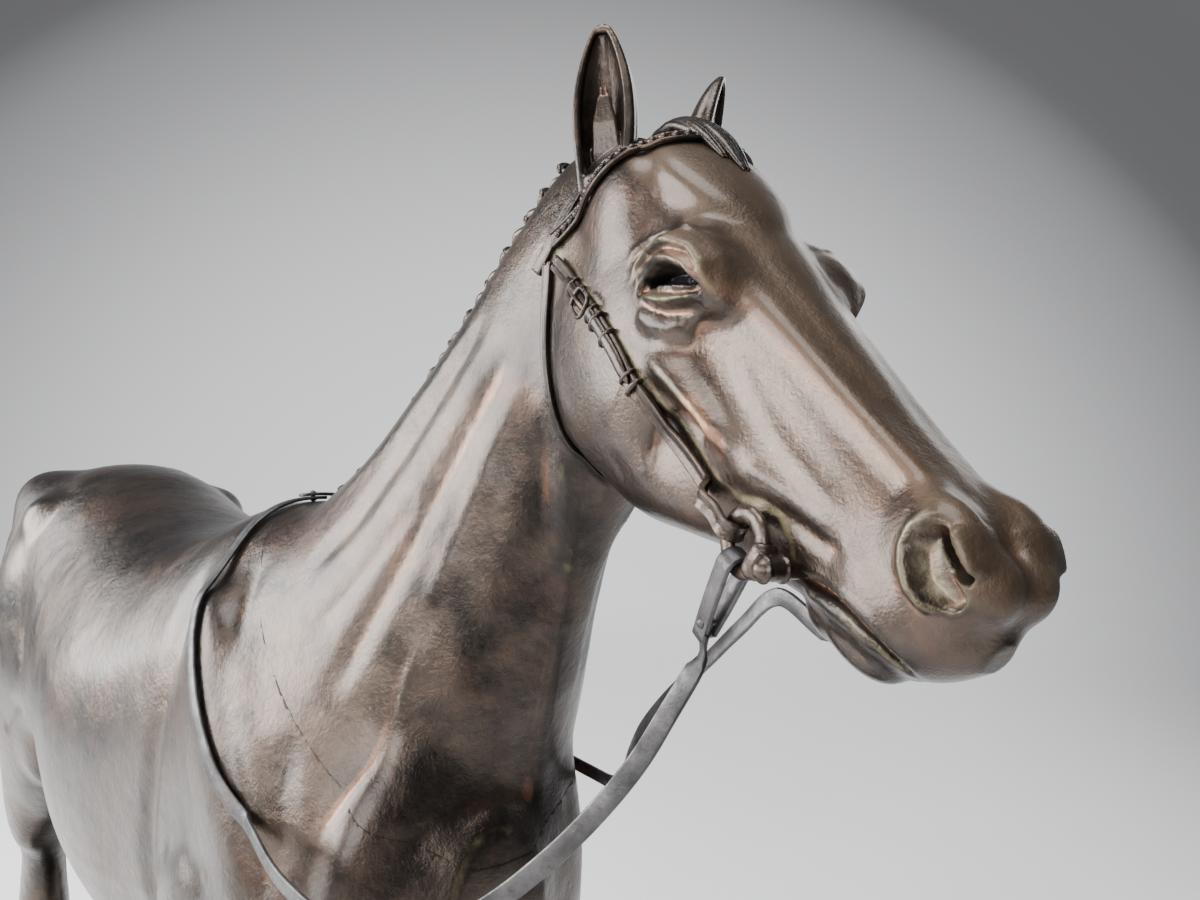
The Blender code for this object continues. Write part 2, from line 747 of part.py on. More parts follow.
def rounded_rectangle(z, length, width, radius):
    """A level ring with rounded corners."""
    points = []
    for k, (cx, cy) in enumerate(((1, 1), (-1, 1), (-1, -1), (1, -1))):
        centre = Vector((cx * (length / 2 - radius), cy * (width / 2 - radius), z))
        for j in range(6):
            a = math.radians(90 * k + 18 * j)
            points.append(centre + Vector((math.cos(a), math.sin(a), 0)) * radius)
    return points


def slab(name, levels, material):
    return loft(name, [rounded_rectangle(*level) for level in levels], material)


def make_base():
    low, top = FELT_THICKNESS + SEAM, PLINTH_TOP
    length, width = PLINTH_LENGTH, PLINTH_WIDTH
    slab("felt_underlay", ((0, length - 12, width - 12, 5), (FELT_THICKNESS, length - 12, width - 12, 5)), FELT)
    plinth = slab(
        "plinth",
        (
            (low, length - 3, width - 3, 6),
            (low + 1.5, length, width, 7),
            (low + 7.5, length, width, 7),
            (low + 9, length - 3, width - 3, 6),
            (low + 10.5, length - 10, width - 10, 6),
            (low + 15, length - 13, width - 13, 6),
            (top - 1.6, length - 16, width - 16, 6),
            (top, length - 20, width - 20, 5),
        ),
        WOOD,
    )
    low, top = PLINTH_TOP + SEAM, PLATE_TOP
    length, width = PLATE_LENGTH, PLATE_WIDTH
    plate = slab(
        "base_plate",
        ((low, length, width, 5), (top - 1.2, length, width, 5), (top, length - 2.4, width - 2.4, 4)),
        BRONZE,
    )
    for name, _, _, _, (x, y) in feet():
        shape = at(x, y)
        boolean(plinth, cylinder(f"counterbore_{name}", COUNTERBORE_RADIUS, 0, COUNTERBORE_TOP, shape=shape))
        hole = cylinder(f"through_{name}", HOLE_RADIUS, 0, 60, shape=shape)
        boolean(plinth, hole)
        boolean(plate, hole)
        make_fixing(name, shape, hole)
    smooth(plinth, 35)
    smooth(plate, 35)


def make_fixing(name, shape, hole):
    """A stud up into the leg, with a washer and a nut in the plinth's counterbore."""
    smooth(cylinder(f"stud_{name}", STUD_RADIUS, STUD_BOTTOM, STUD_TOP, 20, STEEL, shape))
    washer = cylinder(f"washer_{name}", WASHER_RADIUS, WASHER_BOTTOM, WASHER_TOP, 24, STEEL, shape)
    smooth(boolean(washer, hole))
    nut = cylinder(f"nut_{name}", NUT_RADIUS, NUT_BOTTOM, NUT_TOP, 6, STEEL, shape)
    smooth(boolean(nut, hole))


def main():
    trunk, neck, head = make_castings()
    make_legs()
    make_tail()
    ears = make_ears()
    make_mane()
    make_bridle(head, neck, ears)
    for casting in (trunk, neck, head, *ears):
        smooth(casting)
    make_bit()
    make_reins()
    make_base()


main()
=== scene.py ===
"""The looks of the bronze horse statue. Tables are in millimetres, in the frame of the CAD."""

import itertools
import math

import bmesh
import bpy
import numpy as np
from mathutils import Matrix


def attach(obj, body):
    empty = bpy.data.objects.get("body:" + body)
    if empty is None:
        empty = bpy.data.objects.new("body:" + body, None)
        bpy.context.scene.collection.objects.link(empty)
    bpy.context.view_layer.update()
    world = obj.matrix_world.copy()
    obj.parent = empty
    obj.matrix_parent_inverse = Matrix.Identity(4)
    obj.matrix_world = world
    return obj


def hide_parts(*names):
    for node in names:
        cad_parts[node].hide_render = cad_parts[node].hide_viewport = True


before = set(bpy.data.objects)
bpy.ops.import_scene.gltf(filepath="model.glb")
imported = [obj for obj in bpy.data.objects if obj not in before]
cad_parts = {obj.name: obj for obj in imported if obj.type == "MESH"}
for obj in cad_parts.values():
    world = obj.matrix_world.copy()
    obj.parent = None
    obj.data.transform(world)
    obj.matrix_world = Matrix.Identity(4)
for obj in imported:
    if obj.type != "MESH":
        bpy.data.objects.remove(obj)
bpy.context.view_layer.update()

import openvdb
from mathutils import Matrix, Vector
from mathutils.bvhtree import BVHTree

MM = 0.001
BODY_STEP, HEAD_STEP = 1.1, 0.42  # spacing of the fields of the body and of the head
EAR_STEP, BIT_STEP, PLATE_STEP = 0.33, 0.28, 1.3
FAR = 40.0  # a distance that counts as well outside
WORD = {1: "left", -1: "right"}

# The statue's frame for the head: u to the muzzle, w to the horse's left, v to the forehead
HEAD_ORIGIN = Vector((206.0, 21.0, 430.0))
HEAD_YAW, HEAD_PITCH, HEAD_ROLL = -12.0, 33.5, -4.5

# The modelled forms -------------------------------------------------------------------------------

# Trunk from buttock to breast: x, top, bottom, half width
TRUNK = (
    (-176, 300, 284, 8),
    (-172, 317, 266, 22),
    (-164, 331, 252, 33),
    (-152, 341, 242, 42),
    (-130, 350, 232, 49),
    (-108, 353, 226, 51),
    (-80, 352, 220, 50),
    (-50, 347, 213, 50),
    (-20, 343, 207, 53),
    (10, 341, 203, 55),
    (40, 344, 200, 52),
    (65, 353, 200, 47),
    (95, 359, 203, 43),
    (122, 352, 209, 42),
    (145, 338, 217, 40),
    (165, 322, 229, 34),
    (178, 312, 244, 26),
    (184, 296, 268, 8),
)
# Neck from inside the shoulders to inside the skull: crest, throat side, half width
NECK = (
    ((86, 0, 348), (176, 6, 286), 36),
    ((108, 2, 362), (182, 10, 308), 31),
    ((129, 5, 377), (187, 12, 326), 25),
    ((147, 8, 395), (191, 14, 342), 20),
    ((161, 12, 412), (195.5, 16, 356), 17),
    ((174, 16, 429), (201, 18, 368), 15.5),
    ((187, 18, 441), (209, 19, 378), 14.5),
    ((201, 19.5, 445), (214, 19.5, 382), 13.5),
    ((210, 21, 439), (218, 20, 388), 11),
)
# Head from poll to muzzle: u, top v, bottom v, half width
HEAD = (
    (-9, 3, -12, 5),
    (-5, 10, -20, 10),
    (0, 14, -28, 13),
    (12, 17, -38, 16),
    (24, 17, -43, 17),
    (36, 16, -44, 17.5),
    (48, 14.5, -41, 16.5),
    (60, 12.5, -34.5, 14.5),
    (72, 11, -28, 12.3),
    (84, 9.5, -23.5, 10.5),
    (93, 9, -20.5, 10),
    (101, 8.5, -19.5, 10),
    (108, 6.5, -16.5, 9),
    (113, 2.5, -12, 6.5),
    (116, -2, -7, 2),
)
# Legs from inside the trunk to the ground: z, x, y, half length, half width
PLATE_TOP = 28.0
FORELEG = (
    (262, 130, 27, 26, 12),
    (238, 127, 29, 25, 15),
    (215, 124, 30, 21, 15.5),
    (192, 125, 30, 16.5, 13),
    (165, 127, 29, 12.5, 11),
    (145, 128, 28.5, 10.5, 9.8),
    (133, 129.5, 28.5, 11.3, 10.6),
    (124, 129.5, 28.5, 11, 10.3),
    (113, 128.5, 28.5, 8.6, 8.4),
    (100, 128.5, 28.5, 7.2, 6.6),
    (84, 128.5, 28.5, 7.2, 6.4),
    (74, 129, 28.5, 9, 8.2),
    (67, 130.5, 28.5, 9.4, 8.6),
    (59, 134, 28.5, 7.8, 7.8),
    (52, 137.5, 28.5, 8.8, 9),
    (46, 140, 28.5, 11.2, 11),
    (PLATE_TOP, 144, 28.5, 15.4, 13.2),
)
HINDLEG = (
    (290, -122, 24, 34, 19),
    (268, -120, 27, 43, 22),
    (244, -118, 29, 43, 21),
    (222, -120, 30, 34, 18),
    (202, -128, 29.5, 24, 15),
    (182, -139, 28.5, 17, 11.5),
    (165, -147, 27.5, 13.5, 9),
    (152, -151, 27, 14.5, 9.6),
    (140, -151, 27, 14, 10.4),
    (127, -150, 27, 11, 9),
    (113, -150.5, 27, 8.6, 7.2),
    (96, -150.5, 27, 8, 6.6),
    (80, -149.5, 27, 8.6, 7),
    (72, -148, 27, 10.2, 8.8),
    (65, -145.5, 27, 9.8, 8.6),
    (57, -141, 27, 8.2, 7.8),
    (51, -138, 27, 9, 9),
    (46, -136, 27, 11, 10.8),
    (PLATE_TOP, -132.5, 27, 15, 12.8),
)
NEAR_HIND_BACK = -12.0
# Lines of the face in side view, as u, v, which the form follows; the eye fold also carries patina, and the eye
# hollow and nostril slit carry painted shade
EYE_HOLLOW = ((35.4, 0.3), (37.6, 2.5), (40.8, 4.7), (43.9, 6.4), (46.3, 7.3))
UPPER_FOLD = ((30.6, -2.6), (29.6, 0.2), (30.6, 4.0), (34.2, 7.6), (38.8, 10.3), (43.2, 11.7))
EYE_FOLD = (*UPPER_FOLD, (47.4, 11.0), (51.8, 7.4))
NOSTRIL_SLIT = ((104.8, 6.4), (106.3, 5.5), (108.4, 4.7), (110.8, 4.3))

# Where the castings meet, and the bit, straps and reins
HEAD_SEAM = -15.0  # u + v of the joint between head and neck
LEG_SEAM = 199.0
NECK_SEAM, NECK_SEAM_OUT = (95, 0, 359), (0.579, 0, 0.815)
NECK_LAP = 0.08  # the neck reaches this much past the seam, so that no gap shows
HEAD_LAP = 0.35  # the body is sunk by this much where the head's casting laps over it
PLINTH_LENGTH, PLINTH_WIDTH, PLINTH_TOP = 372, 156, 21.7
PLATE_LENGTH, PLATE_WIDTH = 340, 120
FELT_THICKNESS = 2.0
BIT_U, BIT_V, BIT_W = 81, -17, 13
BAR_U, BAR_V = 88.2, -15.6
RING_RADIUS, RING_WIRE, FOLD_RADIUS = 4.2, 1.0, 2.1
REIN_WIDTH, REIN_THICKNESS, REIN_LIFT = 3.4, 0.9, 0.5
REIN_FOLD = (0.1, -0.995)
REIN_AXIS = 310.0
REIN_LAP = 0.15  # between the two reins where they cross the withers
RIVET_PLACE = 11.0  # past the ring, along the rein
RIGHT_FREE = (
    (256.4, -9.8, 354.0),
    (254.0, -13.1, 346.5),
    (250.5, -16.2, 338.0),
    (246.0, -20.5, 329.5),
    (240.5, -25.0, 321.5),
    (233.0, -30.0, 313.0),
    (222.5, -34.7, 304.5),
    (209.5, -38.2, 298.8),
    (196.0, -40.2, 295.6),
    (182.0, -41.3, 294.8),
    (168.0, -41.6, 295.6),
)
LEFT_FREE = (
    (243.0, 22.4, 357.5),
    (234.0, 22.4, 350.0),
    (224.5, 22.8, 341.0),
    (213.0, 24.0, 331.0),
    (203.0, 26.0, 321.0),
    (195.0, 29.5, 311.5),
    (187.5, 34.5, 303.5),
    (178.0, 39.0, 298.0),
    (166.0, 41.5, 296.2),
)
ON_SHOULDER = (  # x, and the turn from the top about a line at height REIN_AXIS
    (147, 108),
    (141, 103),
    (135, 97),
    (130, 91),
    (124, 83),
    (118, 74),
    (111, 62),
    (105, 50.5),
    (100, 39.5),
    (96, 29.5),
    (93, 19.6),
    (90.5, 10),
    (89, 0),
)


def head_frame():
    turn = Matrix.Rotation(math.radians(HEAD_YAW), 4, "Z")
    turn @= Matrix.Rotation(math.radians(HEAD_PITCH), 4, "Y")
    turn @= Matrix.Rotation(math.radians(HEAD_ROLL), 4, "X")
    return Matrix.Translation(HEAD_ORIGIN) @ turn


HEAD_FRAME = head_frame()
HEAD_TURN = HEAD_FRAME.to_3x3()
STATUE = Matrix.Identity(4)


def in_head(u, v, w):
    return HEAD_FRAME @ Vector((u, w, v))


# Signed distances on a grid -----------------------------------------------------------------------


def smooth_table(rows, count=400):
    """The rows of a table resampled to count, on smooth curves, with an even first column."""
    table = np.array(rows, float)
    key = table[:, 0]
    if key[0] > key[-1]:
        table, key = table[::-1], key[::-1]
    dense = np.linspace(key[0], key[-1], count)
    columns = [dense]
    for column in table[:, 1:].T:
        slope = np.gradient(column, key)
        # Hermite pieces between the rows
        k = np.clip(np.searchsorted(key, dense, side="right") - 1, 0, len(key) - 2)
        width = key[k + 1] - key[k]
        t = (dense - key[k]) / width
        a, b = column[k], column[k + 1]
        m, n = slope[k] * width, slope[k + 1] * width
        start = (2 * t**3 - 3 * t**2 + 1) * a + (t**3 - 2 * t**2 + t) * m
        columns.append(start + (3 * t**2 - 2 * t**3) * b + (t**3 - t**2) * n)
    return np.array(columns, np.float32)


class Field:
    """Signed distances in millimetres to the form, negative inside, on an even grid in some frame."""

    def __init__(self, low, high, step, place):
        self.low = np.array(low, np.float32)
        self.step = step
        self.shape = tuple(int(math.ceil((h - l) / step)) + 1 for l, h in zip(low, high))
        self.place = place
        self.values = np.full(self.shape, FAR, np.float32)

    def block(self, space, low, high):
        """The slices that hold a box given in a space's axes, and their points in that space."""
        to_grid = self.place.inverted() @ space
        corners = [tuple(to_grid @ Vector(corner)) for corner in itertools.product(*zip(low, high))]
        corners = (np.array(corners) - self.low) / self.step
        first = np.clip(np.floor(corners.min(0)).astype(int), 0, self.shape)
        last = np.clip(np.ceil(corners.max(0)).astype(int) + 1, 0, self.shape)
        slices = tuple(slice(a, b) for a, b in zip(first, last))
        axes = [self.low[i] + self.step * np.arange(first[i], last[i], dtype=np.float32) for i in range(3)]
        x, y, z = (a.reshape([-1 if i == j else 1 for j in range(3)]) for i, a in enumerate(axes))
        back = np.array(space.inverted() @ self.place, np.float32)
        points = [back[i, 0] * x + back[i, 1] * y + back[i, 2] * z + back[i, 3] for i in range(3)]
        return slices, points

    def add(self, slices, distance, blend):
        old = self.values[slices]
        meet = np.maximum(blend - np.abs(old - distance), 0) if blend else 0
        self.values[slices] = np.minimum(old, distance) - (meet * meet / (4 * blend) if blend else 0)

    def cut(self, slices, distance, blend):
        old = self.values[slices]
        meet = np.maximum(blend - np.abs(old + distance), 0) if blend else 0
        self.values[slices] = np.maximum(old, -distance) + (meet * meet / (4 * blend) if blend else 0)


def oval_distance(a, b, half_a, half_b, power=2.2):
    """Roughly how far a point is outside a full oval, from its offsets a, b and the oval's half sizes."""
    reach = (np.abs(a / half_a) ** power + np.abs(b / half_b) ** power) ** (1 / power)
    length = np.sqrt(a * a + b * b)
    # the distance along the spoke through the point
    return np.where(reach > 1e-3, length * (1 - 1 / np.maximum(reach, 1e-3)), -np.minimum(half_a, half_b))


def at(table, key, column):
    return np.float32(np.interp(key, table[0], table[column]))


def add_trunk(field):
    table = smooth_table(TRUNK)
    slices, (x, y, z) = field.block(STATUE, (-190, -70, 190), (200, 70, 370))
    top, bottom, half = (at(table, x, k) for k in (1, 2, 3))
    middle, tall = (top + bottom) / 2, (top - bottom) / 2
    distance = oval_distance(y, z - middle, half, tall)
    beyond = np.maximum(x - TRUNK[-1][0], TRUNK[0][0] - x)
    field.add(slices, np.maximum(distance, beyond), 0)


def add_neck(field):
    """Each point lies between two tilted sections, and takes its section from both."""
    crest = np.array([row[0] for row in NECK], float)
    throat = np.array([row[1] for row in NECK], float)
    half = np.array([row[2] for row in NECK], float)
    middle = (crest + throat) / 2
    up = crest - throat
    tall = np.linalg.norm(up, axis=1)
    up /= tall[:, None]
    side = np.array((0.0, 1.0, 0.0))
    normal = -np.cross(up, side)
    normal /= np.linalg.norm(normal, axis=1)[:, None]
    if (middle[1] - middle[0]) @ normal[0] < 0:
        normal = -normal
    slices, (x, y, z) = field.block(STATUE, (60, -60, 260), (240, 60, 470))
    along = [(x - m[0]) * n[0] + (y - m[1]) * n[1] + (z - m[2]) * n[2] for m, n in zip(middle, normal)]
    place = np.zeros(np.broadcast(x, y, z).shape, np.float32)
    for k in range(len(NECK) - 1):
        share = along[k] / np.maximum(along[k] - along[k + 1], 1e-3)
        here = (along[k] >= 0) & (along[k + 1] < 0)
        place = np.where(here, k + np.clip(share, 0, 1), place)
    place = np.where(along[-1] >= 0, len(NECK) - 1, place)
    rows = np.arange(len(NECK), dtype=float)
    table = smooth_table(np.column_stack([rows, middle, up, tall / 2, half]))
    centre = [at(table, place, k) for k in (1, 2, 3)]
    upward = [at(table, place, k) for k in (4, 5, 6)]
    tall, half = at(table, place, 7), at(table, place, 8)
    dx, dy, dz = x - centre[0], y - centre[1], z - centre[2]
    rise = dx * upward[0] + dy * upward[1] + dz * upward[2]
    # thinner at the crest than at the throat, as a horse's neck is
    pear = 1 - 0.16 * np.clip(rise / tall, -1, 1)
    distance = oval_distance(dy - rise * upward[1], rise, half * pear, tall, 2.1)
    distance = np.maximum(distance, np.maximum(along[-1], -along[0]))
    field.add(slices, distance, 9.0)


def add_head(field):
    table = smooth_table(HEAD)
    slices, (u, w, v) = field.block(HEAD_FRAME, (-14, -26, -52), (122, 26, 26))
    top, bottom, half = (at(table, u, k) for k in (1, 2, 3))
    middle, tall = (top + bottom) / 2, (top - bottom) / 2
    rise = (v - middle) / tall
    # narrow along the bridge of the nose, full at the cheek
    shape = 1 - 0.18 * np.clip(rise, 0, 1) * np.clip((u - 30) / 40, 0, 1)
    distance = oval_distance(w, v - middle, half * shape, tall, 2.25)
    beyond = np.maximum(u - HEAD[-1][0], HEAD[0][0] - u)
    field.add(slices, np.maximum(distance, beyond), 4.0)


def add_column(field, rows, side, back, blend):
    table = smooth_table(rows)
    top = rows[0][0]
    x_mid = rows[len(rows) // 2][1]
    low = (x_mid - 70, min(0, 62 * side), PLATE_TOP - 6)
    slices, (x, y, z) = field.block(STATUE, low, (x_mid + 80, max(0, 62 * side), top))
    share = np.clip((290 - z) / 90, 0, 1)
    cx, cy = at(table, z, 1) + back * share, at(table, z, 2) * side
    distance = oval_distance(x - cx, y - cy, at(table, z, 3), at(table, z, 4), 2.15)
    distance = np.maximum(distance, np.maximum(z - top, PLATE_TOP - z))
    field.add(slices, distance, blend)


def ellipsoid(field, space, centre, radii, blend, turn=(0, 0, 0), cut=False):
    """A soft mass at a centre, in a space's axes, turned by degrees about X, Y and Z in turn."""
    about_x, about_y, about_z = (Matrix.Rotation(math.radians(a), 4, axis) for a, axis in zip(turn, "XYZ"))
    own = space @ Matrix.Translation(Vector(centre)) @ (about_z @ about_y @ about_x)
    reach = np.array(radii) + blend + 2
    slices, points = field.block(own, -reach, reach)
    scaled = [p / r for p, r in zip(points, radii)]
    twice = [p / r for p, r in zip(scaled, radii)]
    near = np.sqrt(sum(s * s for s in scaled))
    slope = np.sqrt(sum(s * s for s in twice))
    distance = near * (near - 1) / np.maximum(slope, 1e-4)
    (field.cut if cut else field.add)(slices, distance, blend)


def path_distance(points, path, radii):
    """Distance from grid points to a tapering rounded path."""
    best = None
    for (a, ra), (b, rb) in zip(zip(path, radii), zip(path[1:], radii[1:])):
        a, b = np.array(a, np.float32), np.array(b, np.float32)
        ab = b - a
        share = sum((p - a[i]) * ab[i] for i, p in enumerate(points)) / max(float(ab @ ab), 1e-6)
        share = np.clip(share, 0, 1)
        away = np.sqrt(sum((p - a[i] - ab[i] * share) ** 2 for i, p in enumerate(points)))
        away = away - (ra + (rb - ra) * share)
        best = away if best is None else np.minimum(best, away)
    return best


def rope(field, space, path, radii, blend, cut=False):
    """A rounded path with a radius at each point."""
    path = np.array(path, float)
    radii = np.broadcast_to(np.array(radii, float), (len(path),))
    reach = radii.max() + blend + 1
    slices, points = field.block(space, path.min(0) - reach, path.max(0) + reach)
    (field.cut if cut else field.add)(slices, path_distance(points, path, radii), blend)


def side_block(field, space, side, path, reach, low, high):
    """The field's block round a path drawn in side view. low and high bound the second axis, for side +1."""
    near, far = sorted((low * side, high * side))
    first, last = path.min(0) - reach, path.max(0) + reach
    return field.block(space, (first[0], near, first[1]), (last[0], far, last[1]))


def along_path(values, where):
    """A steady value, or one that changes along a path through the values given."""
    return values if not np.ndim(values) else np.interp(where, np.linspace(0, 1, len(values)), values)


def drawn(field, space, side, path, width, height, low, high):
    """A ridge (height above 0) or a groove drawn on one side in side view, with soft ends.

    path is points of the first and third axes of the space. low and high bound the second axis, for side +1.
    """
    path = np.array(path, float)
    slices, (x, y, z) = side_block(field, space, side, path, 3 * np.max(width), low, high)
    lengths = np.concatenate([[0], np.cumsum(np.linalg.norm(np.diff(path, axis=0), axis=1))])
    best = np.full(np.broadcast(x, y, z).shape, 1e9, np.float32)
    where = np.zeros_like(best)
    for k in range(len(path) - 1):
        a, ab = path[k], path[k + 1] - path[k]
        share = np.clip(((x - a[0]) * ab[0] + (z - a[1]) * ab[1]) / (ab @ ab), 0, 1)
        away = (x - a[0] - ab[0] * share) ** 2 + (z - a[1] - ab[1] * share) ** 2
        nearer = away < best
        best = np.where(nearer, away, best)
        place = (lengths[k] + share * (lengths[k + 1] - lengths[k])) / lengths[-1]
        where = np.where(nearer, place, where)
    ends = np.clip(np.minimum(where, 1 - where) * 6, 0, 1)
    ends = ends * ends * (3 - 2 * ends)
    inside = np.clip((y * side - low) / 3, 0, 1) * np.clip((high - y * side) / 3, 0, 1)
    width, height = along_path(width, where), along_path(height, where)
    field.values[slices] -= (height * ends * inside * np.exp(-best / (width * width))).astype(np.float32)


def pressed(field, side, path, radii, depth, soft):
    """Sinks (depth above 0) or raises the head's skin inside a rounded path in side view, softly."""
    path = np.array(path, float)
    slices, (u, w, v) = side_block(field, HEAD_FRAME, side, path, max(radii) + soft + 1, 3.0, 24.0)
    outside = path_distance((u + 0 * w, v + 0 * w), path, radii)
    share = np.clip(0.5 - outside / (2 * soft), 0, 1)
    share = share * share * (3 - 2 * share) * np.clip((w * side - 3) / 3, 0, 1)
    field.values[slices] += (depth * share).astype(np.float32)


def mesh_of(field, name):
    """The field's surface as a mesh object, in metres in the statue's frame."""
    grid = openvdb.FloatGrid()
    grid.copyFromArray(field.values)
    points, triangles, quads = grid.convertToPolygons(isovalue=0.0, adaptivity=0.0)
    points = (field.low + np.asarray(points, np.float64) * field.step) * MM
    place = np.array(field.place)
    points = points @ place[:3, :3].T + place[:3, 3] * MM
    quads = np.asarray(quads)[:, ::-1]
    mesh = bpy.data.meshes.new(name)
    mesh.vertices.add(len(points))
    mesh.vertices.foreach_set("co", points.astype(np.float32).ravel())
    mesh.loops.add(quads.size)
    mesh.loops.foreach_set("vertex_index", quads.astype(np.int32).ravel())
    mesh.polygons.add(len(quads))
    mesh.polygons.foreach_set("loop_start", np.arange(0, quads.size, 4, dtype=np.int32))
    mesh.update(calc_edges=True)
    mesh.validate()
    mesh.shade_smooth()
    return linked(name, mesh)


def head_masses(field):
    """The bony and fleshy masses of the head, alike on both sides."""
    for side in (1, -1):

        def mass(u, v, w, radii, blend, turn=0, cut=False):
            ellipsoid(field, HEAD_FRAME, (u, w * side, v), radii, blend, (0, turn, 0), cut)

        def chain(points, radii, blend):
            rope(field, HEAD_FRAME, [(u, w * side, v) for u, v, w in points], radii, blend)

        mass(25, -22, 10.5, (19, 7.5, 18), 5)  # cheek muscle
        brow = ((31, 7.5, 12.6), (38, 9.0, 14.8), (46, 8.2, 13.6), (51, 6.0, 11.4))
        chain(brow, (2.6, 3.4, 3.2, 2.4), 4)
        mass(41.5, 3.8, 12.0, (10.5, 4.6, 8.0), 5, -32)  # eye and its lids
        mass(24, 13.0, 16.4, (8, 3.4, 4.6), 8, cut=True)  # hollow above the eye
        mass(12, 4, 12.6, (9, 4, 9), 5)  # temple
        nasal_edge = ((36, 9.5, 9.6), (56, 8.4, 7.4), (78, 7.2, 5.6), (97, 6.4, 4.4))
        chain(nasal_edge, (2.2, 1.9, 1.7, 1.5), 3)
        chain(((46, -8.0, 13.2), (56, -8.2, 12.4), (66, -9.2, 11.0)), (2.0, 1.8, 1.2), 4)  # facial crest
        mass(64, 0.0, 14.0, (13, 2.6, 4.4), 7, cut=True)  # hollow between crest and nose
        mass(60, -19, 13.5, (9, 2.2, 6), 7, cut=True)  # in front of the cheek
        mass(104.5, 2.0, 5.6, (8.5, 4.4, 7.6), 3, 25)  # wing of the nostril
        mass(102, -8.0, 4.5, (9.5, 5.8, 5.0), 3)  # upper lip
        mass(99, -16.8, 2.9, (9.2, 5.0, 4.2), 2.4)  # lower lip
        mass(93.5, -19.6, 0.8, (5.0, 5.2, 3.6), 2.2)  # chin
        mass(111.5, 2.6, 3.0, (3.8, 3.6, 4.6), 2.5)  # between the nostrils
    ellipsoid(field, HEAD_FRAME, (20, 0, 14.5), (16, 11, 4.2), 5)  # forehead


def head_lines(field):
    """Lids, folds, nostrils and mouth."""
    for side in (1, -1):

        def line(path, width, height, low=3.0, high=24.0):
            drawn(field, HEAD_FRAME, side, path, width, height, low, high)

        # the eye: a ball sunk between its lids, hollow under the upper one
        opening = ((34.8, -1.6), (36.2, 0.6), (39.2, 2.9), (42.6, 4.9), (45.8, 6.4), (48.4, 7.2))
        pressed(field, side, opening, (0.6, 1.6, 2.2, 2.3, 1.8, 0.7), 1.5, 0.45)
        pressed(field, side, ((39.2, 1.6), (42.2, 3.4), (45.2, 5.2)), (1.2, 1.6, 1.2), -1.1, 1.3)
        pressed(field, side, EYE_HOLLOW, (0.5, 1.0, 1.15, 1.05, 0.5), 3.0, 0.3)
        ridge = (0.5, 0.7, 0.85, 0.9, 0.9, 0.85, 0.7, 0.5)
        lid = ((33.4, -2.6), (32.6, 0.0), (33.9, 2.8), (37.1, 5.6), (41.2, 8.1), (44.8, 9.3), (47.8, 8.9))
        line((*lid, (50.0, 7.4)), ridge, 0.9)
        furrow = ((32.2, -2.4), (31.2, 0.2), (32.2, 3.4), (35.6, 6.5), (40.0, 9.2), (44.0, 10.5))
        line((*furrow, (47.4, 10.0)), 0.5, -0.5)
        line(EYE_FOLD, ridge, 0.9)
        line(((28.2, -1.8), (27.6, 1.0), (28.8, 4.8), (32.4, 8.6), (37.2, 11.5), (42.0, 13.0)), 0.6, -0.35)
        line(((26.8, -1.4), (26.1, 1.2), (27.2, 5.2), (31.0, 9.4), (36.2, 12.6), (41.0, 14.2)), 0.7, 0.35)
        lower = ((35.6, -1.6), (38.0, -0.9), (41.0, 0.1), (43.8, 1.6), (46.4, 3.7), (48.6, 5.4), (51.0, 6.2))
        line(lower, (0.4, 0.6, 0.7, 0.7, 0.65, 0.55, 0.4), 0.85)
        line(((36.6, -2.8), (40.2, -1.9), (43.6, -0.7), (46.6, 1.5), (49.2, 3.8)), 0.6, -0.4)
        line(((36.6, -4.6), (41.4, -4.2), (45.6, -2.4), (48.6, 0.4)), 1.4, 0.55)
        line(((35.0, -8.4), (41.0, -8.2), (47.0, -6.2), (52.0, -2.4)), 2.0, -0.4)
        # facial crest and the folds off it
        line(((44, -8.6), (52, -8.4), (60, -8.9), (67, -10.0)), 1.9, (0.3, 0.7, 0.9, 0.7))
        line(((45, -12.6), (54, -12.0), (62, -12.6)), 2.0, -0.6)
        line(((56, 1.6), (64, -1.0), (74, -2.8), (86, -3.2), (95, -2.6)), 1.8, 0.4)
        line(((53, -16), (50, -25), (44, -34)), 3.4, -0.5)
        line(((70, -16), (78, -11.6), (88, -8.6), (97, -6.4)), 1.6, -0.5)
        line(((72, -9.6), (82, -7.0), (92, -5.6)), 1.6, 0.35)
        # nostril: a drop-shaped opening with a raised rim, and a deep slit inside its front edge
        back_rim = ((104.2, 8.1), (102.4, 7.0), (101.7, 4.8), (102.4, 2.4))
        low_rim = ((104.1, 0.4), (106.4, -1.1), (109.0, -1.7), (111.4, -1.4))
        line((*back_rim, *low_rim), (0.7, 0.95, 1.05, 1.1, 1.1, 1.0, 0.8, 0.6), 1.4, 1.0)
        line(((105.4, 8.4), (107.7, 7.8), (109.9, 6.6), (111.9, 5.3)), (0.7, 0.9, 0.9, 0.6), 1.2, 1.0)
        bowl = ((105.0, 5.6), (106.0, 3.7), (107.9, 2.0), (110.4, 1.2))
        pressed(field, side, bowl, (1.3, 1.9, 2.0, 1.4), 2.0, 0.8)
        pressed(field, side, NOSTRIL_SLIT, (0.6, 0.85, 0.8, 0.4), 3.6, 0.4)
        # mouth
        corner = ((86.0, -17.6), (89.4, -15.8), (93.2, -14.0), (97.0, -12.3))
        lips = (*corner, (101.0, -11.2), (105.4, -10.8), (109.6, -11.8), (112.0, -13.2))
        line(lips, 0.62, -1.6, 0.0)
        line(((88.0, -15.4), (93.4, -12.2), (98.4, -10.2), (104.0, -9.2), (109.0, -9.8)), 1.0, 0.4, 0.0)
        line(((89.6, -18.2), (95.0, -15.4), (101.0, -13.6), (107.0, -13.2)), 0.9, 0.55, 0.0)
        line(((90.5, -20.4), (96.0, -18.0), (102.0, -16.6), (107.0, -16.6)), 1.0, -0.4, 0.0)


